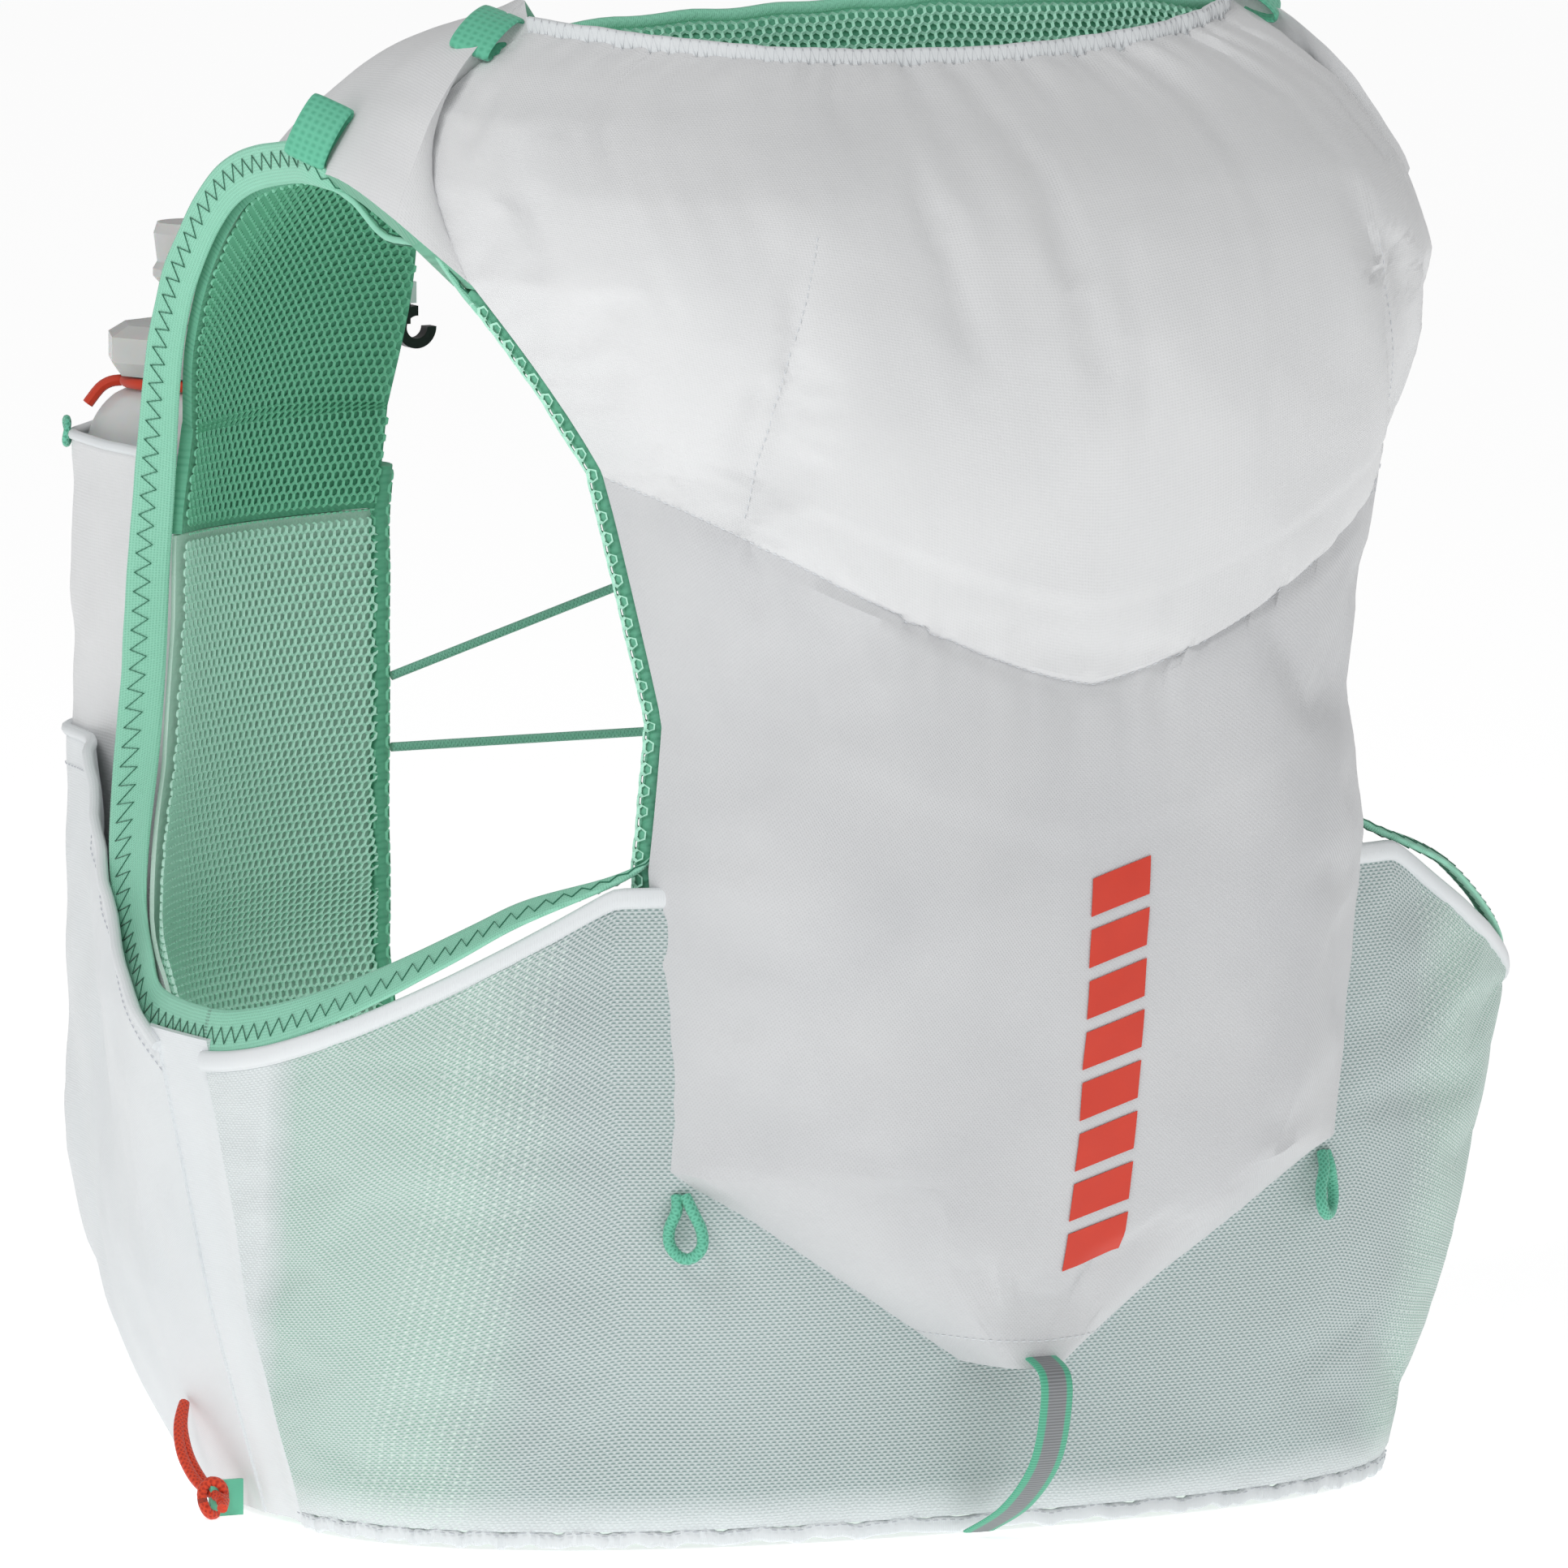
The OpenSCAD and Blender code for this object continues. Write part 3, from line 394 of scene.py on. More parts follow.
green_cord = braid("green cord", srgb(0.44, 0.79, 0.67), srgb(0.28, 0.62, 0.50))
chest_elastic = braid("green chest elastic", srgb(0.56, 0.80, 0.71), srgb(0.44, 0.70, 0.61), 1.2)
orange_cord = braid("orange elastic", srgb(0.88, 0.27, 0.13), srgb(0.70, 0.16, 0.07))
white_thread = knit("white thread", srgb(0.93, 0.94, 0.95), srgb(0.80, 0.82, 0.84), 0.5)
seam_thread = knit("grey seam thread", srgb(0.80, 0.81, 0.83), srgb(0.66, 0.68, 0.71), 0.5)
dark_thread = knit("dark green thread", srgb(0.20, 0.50, 0.39), srgb(0.15, 0.42, 0.32), 0.5)
print_red = moulded("orange-red print", srgb(0.85, 0.23, 0.13), srgb(0.80, 0.19, 0.10), 0.5, 2)
black_plastic = moulded("black plastic", srgb(0.06, 0.06, 0.065), srgb(0.035, 0.035, 0.04), 0.42, 3)
cap_plastic = frosted("smoky cap plastic", srgb(0.86, 0.87, 0.86), srgb(0.75, 0.76, 0.75), 0.86, 0.25)
flask_film = frosted("cloudy flask film", srgb(0.93, 0.94, 0.935), srgb(0.84, 0.85, 0.845), 0.78, 0.28)
valve_silicone = frosted("cloudy silicone", srgb(0.86, 0.865, 0.86), srgb(0.76, 0.77, 0.765), 0.86, 0.4)
slider_metal = moulded("grey metal", srgb(0.55, 0.55, 0.56), srgb(0.42, 0.42, 0.43), 0.32, 2, metallic=1.0)
zip_cloth = knit("grey zip tape", srgb(0.55, 0.57, 0.58), srgb(0.44, 0.46, 0.47), 1.0)


def strip_finish():
    """Reflective tape: grey ribbed middle between green woven edges."""
    f = Finish("reflective tape")
    u, v = f.cloth_uv()
    middle = f.node("ShaderNodeMapRange", {"Value": f.maths("ABSOLUTE", u), "From Min": 0.0026,
                                           "From Max": 0.0030,
                                           "To Min": 1.0, "To Max": 0.0}).outputs[0]
    rib = f.wave(v, 0.9)
    f.bump(rib, 0.15, 0.6)
    grey = f.blend(rib, srgb(0.42, 0.43, 0.44), srgb(0.56, 0.57, 0.58))
    green = f.blend(rib, srgb(0.25, 0.62, 0.49), srgb(0.36, 0.74, 0.60))
    return f.done(f.blend(middle, green, grey), 0.45, specular_ior_level=0.6)


reflective = strip_finish()

# ---- Making meshes ----


def hub(p):
    """A point inside the vest that a point of its cloth faces away from."""
    high = np.clip((p[..., 2] - 290) / 60, 0, 1)
    return np.stack([p[..., 0] * 0.62 * high, np.full(p.shape[:-1], 10.0), np.minimum(p[..., 2], 300)], -1)


def new_piece(name, points, faces, finishes, slots=None, uv=None):
    mesh = bpy.data.meshes.new(name)
    mesh.from_pydata([tuple(float(c) * MM for c in p) for p in points], [],
                     [tuple(int(i) for i in f) for f in faces])
    for m in finishes:
        mesh.materials.append(m)
    if slots is not None:
        mesh.polygons.foreach_set("material_index", np.array(slots, np.int32))
    if uv is not None:
        corner = np.zeros(len(mesh.loops), np.int32)
        mesh.loops.foreach_get("vertex_index", corner)
        layer = mesh.uv_layers.new(name="cloth")
        layer.data.foreach_set("uv", np.asarray(uv, np.float32)[corner].ravel())
    mesh.polygons.foreach_set("use_smooth", np.full(len(mesh.polygons), True))
    mesh.set_sharp_from_angle(angle=math.radians(48))
    mesh.update()
    made = bpy.data.objects.new(name, mesh)
    scene.collection.objects.link(made)
    return made


def outward(grid):
    """Unit normals of a grid of points, and whether its rows have to be read the other way round."""
    n = np.cross(np.gradient(grid, axis=1), np.gradient(grid, axis=0))
    n /= np.maximum(np.linalg.norm(n, axis=-1, keepdims=True), 1e-9)
    turned = (n * (grid - hub(grid))).sum() < 0
    return (-n if turned else n), turned


def grid_uv(grid):
    """Metres across from the middle column, and metres up from the first row."""
    rows, cols = grid.shape[:2]
    u = np.zeros((rows, cols))
    u[:, 1:] = np.cumsum(np.linalg.norm(np.diff(grid, axis=1), axis=-1), axis=1)
    u -= u[:, cols // 2:cols // 2 + 1]
    v = np.zeros(rows)
    v[1:] = np.cumsum(np.linalg.norm(np.diff(grid[:, cols // 2], axis=0), axis=-1))
    return np.stack([u, np.repeat(v[:, None], cols, 1)], -1).reshape(-1, 2) * MM


def quads(rows, cols, first=0, turned=False):
    made = []
    for i in range(rows - 1):
        for j in range(cols - 1):
            a = first + i * cols + j
            q = (a, a + 1, a + cols + 1, a + cols)
            made.append(q[::-1] if turned else q)
    return made


def cloth(name, grid, thick, face, lining=None, inside=None, rim_slot=0):
    """A closed sheet: grid is its outer face, and it is thick towards the wearer."""
    grid = np.array(grid, float)
    rows, cols = grid.shape[:2]
    n, turned = outward(grid)
    count = rows * cols
    under = grid - n * thick if inside is None else np.array(inside, float)
    points = np.vstack([grid.reshape(-1, 3), under.reshape(-1, 3)])
    top, low = quads(rows, cols, 0, turned), quads(rows, cols, count, not turned)
    rim = [j for j in range(cols)] + [i * cols + cols - 1 for i in range(1, rows)]
    rim += [(rows - 1) * cols + j for j in range(cols - 2, -1, -1)] + [i * cols for i in range(rows - 2, 0, -1)]
    side = []
    for a, b in zip(rim, rim[1:] + rim[:1]):
        q = (a, b, b + count, a + count)
        side.append(q if turned else q[::-1])
    uv = grid_uv(grid)
    slots = [0] * len(top) + [1 if lining else 0] * len(low) + [rim_slot] * len(side)
    finishes = [face] + ([lining] if lining else [])
    return new_piece(name, points, top + low + side, finishes, slots, np.vstack([uv, uv]))


def sweep(name, centres, a, b, finish, sides=10, square=1.0, closed=False):
    """A profile carried along a path: a and b are its half width and half height as vectors."""
    c, a, b = np.array(centres, float), np.array(a, float), np.array(b, float)
    n = len(c)
    turn = [2 * math.pi * k / sides for k in range(sides)]
    x = np.array([power(math.cos(t), square) for t in turn])
    y = np.array([power(math.sin(t), square) for t in turn])
    points = c[:, None] + a[:, None] * x[None, :, None] + b[:, None] * y[None, :, None]
    run = np.concatenate([[0], np.cumsum(np.linalg.norm(np.diff(c, axis=0), axis=1))])
    width = np.linalg.norm(a, axis=1)
    uv = np.stack([width[:, None] * x[None], np.repeat(run[:, None], sides, 1)], -1).reshape(-1, 2) * MM
    along = c[1] - c[0]
    turned = np.dot(np.cross(a[0], b[0]), along) > 0
    faces = []
    for i in range(n if closed else n - 1):
        for k in range(sides):
            p, q = i * sides + k, i * sides + (k + 1) % sides
            r = ((i + 1) % n) * sides
            f = (p, q, r + (k + 1) % sides, r + k)
            faces.append(f if turned else f[::-1])
    points = points.reshape(-1, 3)
    if not closed:
        points = np.vstack([points, c[:1], c[-1:]])
        uv = np.vstack([uv, uv[:1], uv[-1:]])
        for k in range(sides):
            last_ring = (n - 1) * sides
            f = (len(points) - 2, (k + 1) % sides, k)
            g = (len(points) - 1, last_ring + k, last_ring + (k + 1) % sides)
            faces += [f, g] if turned else [f[::-1], g[::-1]]
    return new_piece(name, points, faces, [finish], None, uv)


def frames_along(path, closed=False):
    """Two unit vectors across a path at each point, turning as little as they can."""
    p = np.array(path, float)
    t = (np.roll(p, -1, 0) - np.roll(p, 1, 0)) if closed else np.gradient(p, axis=0)
    t /= np.maximum(np.linalg.norm(t, axis=1, keepdims=True), 1e-9)
    a = [unit(np.cross(t[0], (0.13, 0.3, 1) if abs(t[0][2]) < 0.9 else (1, 0.2, 0)))]
    for k in range(1, len(p)):
        a.append(unit(a[-1] - t[k] * np.dot(a[-1], t[k])))
    a = np.array(a)
    return a, np.cross(t, a)


def tube(name, path, radius, finish, sides=10, closed=False):
    a, b = frames_along(path, closed)
    return sweep(name, path, a * radius, b * radius, finish, sides, 1.0, closed)


def mirrored(points, side):
    return np.array(points, float) * np.array([side, 1, 1])


def join(name, pieces):
    """Several finished meshes as one piece."""
    keep = pieces[0]
    bpy.ops.object.select_all(action="DESELECT")
    for p in pieces:
        p.select_set(True)
    bpy.context.view_layer.objects.active = keep
    bpy.ops.object.join()
    keep.name = name
    return keep


# ---- Node trees for what repeats ----


def new_tree(name, numbers):
    tree = bpy.data.node_groups.new(name, "GeometryNodeTree")
    tree.interface.new_socket("Geometry", in_out="INPUT", socket_type="NodeSocketGeometry")
    for key, value in numbers:
        tree.interface.new_socket(key, in_out="INPUT", socket_type="NodeSocketFloat").default_value = value
    tree.interface.new_socket("Finish", in_out="INPUT", socket_type="NodeSocketMaterial")
    tree.interface.new_socket("Geometry", in_out="OUTPUT", socket_type="NodeSocketGeometry")
    given, out = tree.nodes.new("NodeGroupInput"), tree.nodes.new("NodeGroupOutput")

    def node(kind, inputs=None, **settings):
        n = tree.nodes.new(kind)
        for key, value in settings.items():
            setattr(n, key, value)
        for key, value in (inputs or {}).items():
            if isinstance(value, bpy.types.NodeSocket):
                tree.links.new(value, n.inputs[key])
            else:
                n.inputs[key].default_value = value
        return n

    def finish_with(geometry):
        whole = node("GeometryNodeRealizeInstances", {"Geometry": geometry})
        painted = node("GeometryNodeSetMaterial",
                       {"Geometry": whole.outputs[0], "Material": given.outputs["Finish"]})
        tree.links.new(painted.outputs[0], out.inputs[0])

    return tree, given, node, finish_with


def stitch_tree():
    """Short rounded stitches laid along edges."""
    tree, given, node, finish_with = new_tree("stitches",
                                              [("Spacing", 0.003), ("Length", 0.002), ("Thickness", 0.0004)])
    path = node("GeometryNodeMeshToCurve", {"Mesh": given.outputs[0]})
    spaced = node("GeometryNodeResampleCurve", {"Curve": path.outputs[0], "Length": given.outputs["Spacing"]},
                  mode="LENGTH")
    bead = node("GeometryNodeMeshUVSphere", {"Segments": 6, "Rings": 4, "Radius": 0.5})
    size = node("ShaderNodeCombineXYZ", {0: given.outputs["Length"], 1: given.outputs["Thickness"],
                                         2: given.outputs["Thickness"]})
    tangent = node("GeometryNodeInputTangent")
    turn = node("FunctionNodeAlignRotationToVector", {"Vector": tangent.outputs[0]}, axis="X")
    placed = node("GeometryNodeInstanceOnPoints", {"Points": spaced.outputs[0], "Instance": bead.outputs[0],
                                                   "Rotation": turn.outputs[0], "Scale": size.outputs[0]})
    finish_with(placed.outputs[0])
    return tree


def thread_tree():
    """A round thread along edges."""
    tree, given, node, finish_with = new_tree("thread", [("Thickness", 0.0004)])
    path = node("GeometryNodeMeshToCurve", {"Mesh": given.outputs[0]})
    half = node("ShaderNodeMath", {0: given.outputs["Thickness"], 1: 0.5}, operation="MULTIPLY")
    ring = node("GeometryNodeCurvePrimitiveCircle", {"Resolution": 5, "Radius": half.outputs[0]})
    made = node("GeometryNodeCurveToMesh", {"Curve": path.outputs[0], "Profile Curve": ring.outputs[0],
                                            "Fill Caps": True})
    finish_with(made.outputs[0])
    return tree


def net_tree():
    """A net of six-sided holes laid on a cloth by its UV map, each thread a ridge between two holes."""
    tree, given, node, finish_with = new_tree("spacer net", [
        ("Cell", 0.003), ("Hole", 0.7), ("Ridge", 0.0006), ("Width", 0.2), ("Height", 0.4), ("Middle U", 0.0),
        ("Middle V", 0.2)])

    def maths(operation, a, b):
        return node("ShaderNodeMath", {0: a, 1: b}, operation=operation).outputs[0]

    cell = given.outputs["Cell"]
    wide = maths("ADD", given.outputs["Width"], maths("MULTIPLY", given.outputs["Height"], 0.5774))
    step = maths("MULTIPLY", cell, 0.866)
    nx = maths("FLOOR", maths("ADD", maths("DIVIDE", wide, cell), 3.0), 0.0)
    ny = maths("FLOOR", maths("ADD", maths("DIVIDE", given.outputs["Height"], step), 3.0), 0.0)
    plan = node("GeometryNodeMeshGrid", {"Size X": maths("MULTIPLY", maths("SUBTRACT", nx, 1.0), cell),
                                         "Size Y": maths("MULTIPLY", maths("SUBTRACT", ny, 1.0), step),
                                         "Vertices X": nx, "Vertices Y": ny})
    place = node("GeometryNodeInputPosition").outputs[0]
    split = node("ShaderNodeSeparateXYZ", {0: place})
    sheared_x = maths("ADD", split.outputs[0], maths("MULTIPLY", split.outputs[1], 0.5774))
    sheared = node("ShaderNodeCombineXYZ", {0: sheared_x, 1: split.outputs[1]})
    slanted = node("GeometryNodeSetPosition", {"Geometry": plan.outputs[0], "Position": sheared.outputs[0]})
    triangles = node("GeometryNodeTriangulate", {"Mesh": slanted.outputs[0]}, quad_method="SHORTEST_DIAGONAL")
    cells = node("GeometryNodeDualMesh", {"Mesh": triangles.outputs[0]})
    middle = node("ShaderNodeCombineXYZ", {0: given.outputs["Middle U"], 1: given.outputs["Middle V"]})
    spot = node("ShaderNodeVectorMath", {0: place, 1: middle.outputs[0]}, operation="ADD").outputs[0]
    named = node("GeometryNodeInputNamedAttribute", {"Name": "cloth"}, data_type="FLOAT_VECTOR").outputs[0]
    normal = node("GeometryNodeInputNormal").outputs[0]

    def sampled(field):
        n = node("GeometryNodeSampleUVSurface", data_type="FLOAT_VECTOR")
        tree.links.new(given.outputs[0], n.inputs[0])
        tree.links.new(field, n.inputs[1])
        for s in n.inputs:
            if s.name in ("Source UV Map", "UV Map"):
                tree.links.new(named, s)
            if s.name == "Sample UV":
                tree.links.new(spot, s)
        return n

    at, facing = sampled(place), sampled(normal)
    outside = node("FunctionNodeBooleanMath", {0: at.outputs[1]}, operation="NOT").outputs[0]
    kept = node("GeometryNodeDeleteGeometry", {"Geometry": cells.outputs[0], "Selection": outside},
                domain="POINT")
    rings = node("GeometryNodeExtrudeMesh", {"Mesh": kept.outputs[0], "Offset Scale": 0.0, "Individual": True},
                 mode="FACES")
    shrunk = node("GeometryNodeScaleElements", {"Geometry": rings.outputs[0], "Selection": rings.outputs[1],
                                                "Scale": given.outputs["Hole"]}, domain="FACE")
    marked = node("GeometryNodeStoreNamedAttribute",
                  {"Geometry": shrunk.outputs[0], "Name": "hole_edge", "Value": rings.outputs[1]},
                  data_type="BOOLEAN", domain="POINT")
    open_net = node("GeometryNodeDeleteGeometry",
                    {"Geometry": marked.outputs[0], "Selection": rings.outputs[1]},
                    domain="FACE", mode="ONLY_FACE")
    rim = node("GeometryNodeInputNamedAttribute", {"Name": "hole_edge"}, data_type="BOOLEAN").outputs[0]
    lift = node("GeometryNodeSwitch", {"Switch": rim, "False": given.outputs["Ridge"], "True": 0.0},
                input_type="FLOAT").outputs[0]
    raised = node("ShaderNodeVectorMath", {0: facing.outputs[0], "Scale": lift}, operation="SCALE").outputs[0]
    final = node("ShaderNodeVectorMath", {0: at.outputs[0], 1: raised}, operation="ADD").outputs[0]
    laid = node("GeometryNodeSetPosition", {"Geometry": open_net.outputs[0], "Position": final})
    clean = node("GeometryNodeRemoveAttribute", {"Geometry": laid.outputs[0], "Name": "hole_edge"})
    finish_with(clean.outputs[0])
    return tree


STITCHES, THREAD, NET = stitch_tree(), thread_tree(), net_tree()


def grown(name, tree, source, numbers, finish):
    """The plain mesh that a node tree makes from an object, which is then gone."""
    modifier = source.modifiers.new("nodes", "NODES")
    modifier.node_group = tree
    for item in tree.interface.items_tree:
        if item.in_out == "INPUT" and item.name in numbers:
            modifier[item.identifier] = float(numbers[item.name])
        if item.in_out == "INPUT" and item.name == "Finish":
            modifier[item.identifier] = finish
    source.update_tag()
    bpy.context.view_layer.update()
    ready = source.evaluated_get(bpy.context.evaluated_depsgraph_get())
    mesh = bpy.data.meshes.new_from_object(ready)
    mesh.name = name
    bpy.data.objects.remove(source)
    made = bpy.data.objects.new(name, mesh)
    scene.collection.objects.link(made)
    return made


def lines(name, paths):
    points, edges = [], []
    for path in paths:
        first = len(points)
        points += [tuple(float(c) * MM for c in p) for p in path]
        edges += [(first + k, first + k + 1) for k in range(len(path) - 1)]
    mesh = bpy.data.meshes.new(name)
    mesh.from_pydata(points, edges, [])
    made = bpy.data.objects.new(name, mesh)
    scene.collection.objects.link(made)
    return made


def stitched(name, paths, spacing, length, thick, finish):
    return grown(name, STITCHES, lines(name + "_line", paths),
                 {"Spacing": spacing * MM, "Length": length * MM, "Thickness": thick * MM}, finish)


def threaded(name, paths, thick, finish):
    return grown(name, THREAD, lines(name + "_line", paths), {"Thickness": thick * MM}, finish)


def netted(name, grid, cell, hole, ridge, finish, inside=False):
    """The net on one face of a grid: the wearer's side if inside."""
    grid = np.array(grid, float)
    rows, cols = grid.shape[:2]
    _, turned = outward(grid)
    base = new_piece(name + "_base", grid.reshape(-1, 3), quads(rows, cols, 0, turned != inside), [], None,
                     grid_uv(grid))
    uv = grid_uv(grid)
    low, high = uv.min(0), uv.max(0)
    return grown(name, NET, base, {
        "Cell": cell * MM, "Hole": hole, "Ridge": ridge * MM,
        "Width": high[0] - low[0], "Height": high[1] - low[1],
        "Middle U": (high[0] + low[0]) / 2, "Middle V": (high[1] + low[1]) / 2}, finish)


def zigzag(left, right, low, high, pitch):
    """A zigzag between two shares of a ribbon's width."""
    middle = (np.array(left) + np.array(right)) / 2
    run = np.concatenate([[0], np.cumsum(np.linalg.norm(np.diff(middle, axis=0), axis=1))])
    at = np.arange(0, run[-1], pitch / 2)
    made = []
    for k, d in enumerate(at):
        l = np.array([np.interp(d, run, np.array(left)[:, i]) for i in range(3)])
        r = np.array([np.interp(d, run, np.array(right)[:, i]) for i in range(3)])
        made.append(mix(l, r, low if k % 2 else high))
    return np.array(made)


# ---- Cloth that settles ----


def settled(grid, free, growth, pressure, cap, frames=20):
    """A sheet sewn down where free is 0, let go for some frames, and kept within cap of where it began."""
    grid = np.array(grid, float)
    rows, cols = grid.shape[:2]
    _, turned = outward(grid)
    trial = new_piece("settling", grid.reshape(-1, 3), quads(rows, cols, 0, turned), [])
    held = trial.vertex_groups.new(name="sewn")
    for k, f in enumerate(np.array(free).ravel()):
        if f < 1:
            held.add([k], 1.0 - float(f), "REPLACE")
    modifier = trial.modifiers.new("Cloth", "CLOTH")
    s = modifier.settings
    s.quality = 6
    s.mass = 0.15
    s.tension_stiffness = s.compression_stiffness = 12
    s.shear_stiffness = 4
    s.bending_stiffness = 0.25
    s.vertex_group_mass = "sewn"
    s.pin_stiffness = 1
    s.shrink_min = -growth
    s.use_pressure = True
    s.uniform_pressure_force = pressure
    s.effector_weights.gravity = 0
    modifier.collision_settings.use_collision = False
    modifier.point_cache.frame_start, modifier.point_cache.frame_end = 1, frames
    for f in range(1, frames + 1):
        scene.frame_set(f)
    done = trial.evaluated_get(bpy.context.evaluated_depsgraph_get()).data
    co = np.zeros(len(done.vertices) * 3)
    done.vertices.foreach_get("co", co)
    moved = co.reshape(rows, cols, 3) / MM - grid
    reach = np.linalg.norm(moved, axis=-1, keepdims=True)
    bpy.data.objects.remove(trial)
    scene.frame_set(1)
    return grid + moved * (cap * np.tanh(reach / cap) / np.maximum(reach, 1e-6))


harness = "harness"


def on(piece, body, slot, *replaced):
    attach(piece, body)
    if replaced:
        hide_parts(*replaced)
    return piece


def bent(piece, side, slot, *replaced):
    """Cloth that crosses from the back to a front panel."""
    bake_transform(piece)
    if replaced:
        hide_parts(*replaced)
    return piece

# ---- Chest cords, the only free cords ----

RAIL = {z: section(RAIL_TH, z, -1.8) - np.array([2.8, -0.3, 0]) for z in (198, 218, 260)}


def chest_cord(name, z_left, z_right):
    """Elastic pulled straight from the left rail to its hook on the right rail."""
    l, r = RAIL[z_left], RAIL[z_right]
    a = np.array([2.6 - l[0], l[1], z_left])
    b = np.array([r[0] - 12.3, r[1], z_right])
    path = np.array([mix(a, b, t) for t in np.linspace(0, 1, 25)])
    made = on(tube(name, path, 1.3, chest_elastic, 10), "front_left", "green_cord", name)
    return made


chest_upper = chest_cord("chest_cord_upper", 218, 260)
chest_upper.name = "chest_elastic_upper"
chest_lower = chest_cord("chest_cord_lower", 198, 198)
chest_lower.name = "chest_elastic_lower"

# ---- White back panel ----

SHELL_COLS, LOW_ROWS, UP_ROWS = 113, 52, 66


def dart_depth(s, z):
    """How far a sewn dart pulls the cloth in at a point."""
    deepest = 0.0
    for dart in (((-0.50, 366), (-0.64, 330), (-0.82, 288)), ((0.72, 356), (0.90, 308), (0.92, 284))):
        for (s0, z0), (s1, z1) in zip(dart, dart[1:]):
            ax, az, bx, bz = s0 * 115, z0, s1 * 115, z1
            t = ((s * 115 - ax) * (bx - ax) + (z - az) * (bz - az)) / ((bx - ax) ** 2 + (bz - az) ** 2)
            t = min(max(t, 0.0), 1.0)
            d = math.hypot(s * 115 - mix(ax, bx, t), z - mix(az, bz, t))
            deepest = max(deepest, math.exp(-(d / 2.2) ** 2) * 1.3, 0.5 * math.exp(-(d / 9) ** 2))
    return deepest


def shell_surface(s, z):
    """The panel's outer face with its gathers, soft folds and sewn lines."""
    p = shell_point(s, z)
    edge = 1 - abs(s) ** 10
    below = MOUTH_Z - z
    wide_pleat = noise.noise(Vector((s * 11 + 3 + below * 0.012 * s, below * 0.008, 0.4)))
    fine_pleat = noise.noise(Vector((s * 23 + below * 0.02 * s, below * 0.01, 7.1)))
    pleat = 0.62 * wide_pleat + 0.5 * fine_pleat
    right_side = 0.55 + 0.45 * smooth((abs(s) - 0.3) / 0.6)
    out = 9.5 * pleat * math.exp(-below / 34) * right_side * min(1, below / 4 + 0.25)
    out += 3.0 * ripple(p, 70, 2) + 1.5 * ripple(p, 28, 9)
    seam = z - seam_z(s)
    out += 0.45 * math.exp(-((seam - 9) / 9) ** 2) * (1 - abs(s) ** 4)
    out -= 0.3 * math.exp(-(seam / 1.3) ** 2)
    rise = noise.noise(Vector((s * 17, 2.2, 5)))
    out += 1.0 * rise * math.exp(-max(0.0, abs(seam) - 2) / 16)
    out -= dart_depth(s, z)
    side_pull = noise.noise(Vector((z / 15, 3 if s > 0 else 8, 1)))
    out += 2.0 * side_pull * math.exp(-(1 - abs(s)) * 10) * (1 if z > 120 else 0.4)
    puff = 11 * smooth((s - 0.45) / 0.4) * (1 - smooth((s - 0.93) / 0.07)) * math.exp(-((z - 345) / 43) ** 2)
    near_strap = smooth((abs(s) - 0.62) / 0.2) * smooth((z - 325) / 45)
    out += 2.4 * near_strap * noise.noise(Vector((s * 34, below * 0.006, 3.3)))
    tuck = 3.2 * max(0.0, abs(s) - 0.94) / 0.06
    return p + np.array([0.45 * puff, -out * edge - 0.9 * puff + tuck, 0])


def shell_grid():
    rows = []
    across_s = [math.sin(math.pi / 2 * t * 0.86) / math.sin(math.pi / 2 * 0.86)
                for t in np.linspace(-1, 1, SHELL_COLS)]
    for i in range(LOW_ROWS):
        t = i / (LOW_ROWS - 1)
        rows.append([shell_surface(s, mix(50, seam_z(s), t)) for s in across_s])
    for i in range(1, UP_ROWS):
        t = i / (UP_ROWS - 1)
        rows.append([shell_surface(s, mix(seam_z(s), MOUTH_Z, t)) for s in across_s])
    grid = np.array(rows)
    free = np.ones(grid.shape[:2])
    free[0], free[-1], free[:, 0], free[:, -1] = 0, 0, 0, 0
    free[LOW_ROWS - 1] = 0.3
    free[1:3] *= 0.5
    cap = np.full(free.shape, 4.2)
    cap[:LOW_ROWS - 12] = 1.5
    cap[LOW_ROWS - 12:LOW_ROWS + 8] = 2.4
    reach = np.clip((1 - np.abs(np.array(across_s))) / 0.22, 0.12, 1)
    cap *= reach[None]
    cap[:10] *= np.linspace(0.15, 1, 10)[:, None]
    return settled(grid, free, 0.035, 3.0, cap[..., None])


shell = shell_grid()
# The lower panel takes the darker white: painted shade for light falling from above.
lower = cloth("shell_lower", shell[:LOW_ROWS], 1.2, white_fine_shaded, grey_cloth)
upper = cloth("shell_upper", shell[LOW_ROWS - 1:], 1.2, white_cloth, grey_cloth)
on(lower, harness, "white_fabric", "lower_shell")
on(upper, harness, "white_fabric", "upper_shell")

shell_normals, _ = outward(shell)
flat_points = shell.reshape(-1, 3)
shell_tree = BVHTree.FromPolygons([tuple(p) for p in flat_points],
                                  quads(shell.shape[0], shell.shape[1]), all_triangles=False)


def on_shell(x, z, lift=0.3):
    """The point of the settled panel straight behind x, z."""
    hit, normal, _, _ = shell_tree.ray_cast(Vector((x, -400, z)), Vector((0, 1, 0)))
    if hit is None:
        hit, normal, _, _ = shell_tree.find_nearest(Vector((x, -150, z)))
    normal = np.array(normal)
    if normal[1] > 0:
        normal = -normal
    return np.array(hit) + normal * lift


def dart_path(points):
    made = []
    for p in curve([(s * shell_half(z), 0, z) for s, z in points], 8):
        made.append(on_shell(p[0], p[2], 0.25))
    return made


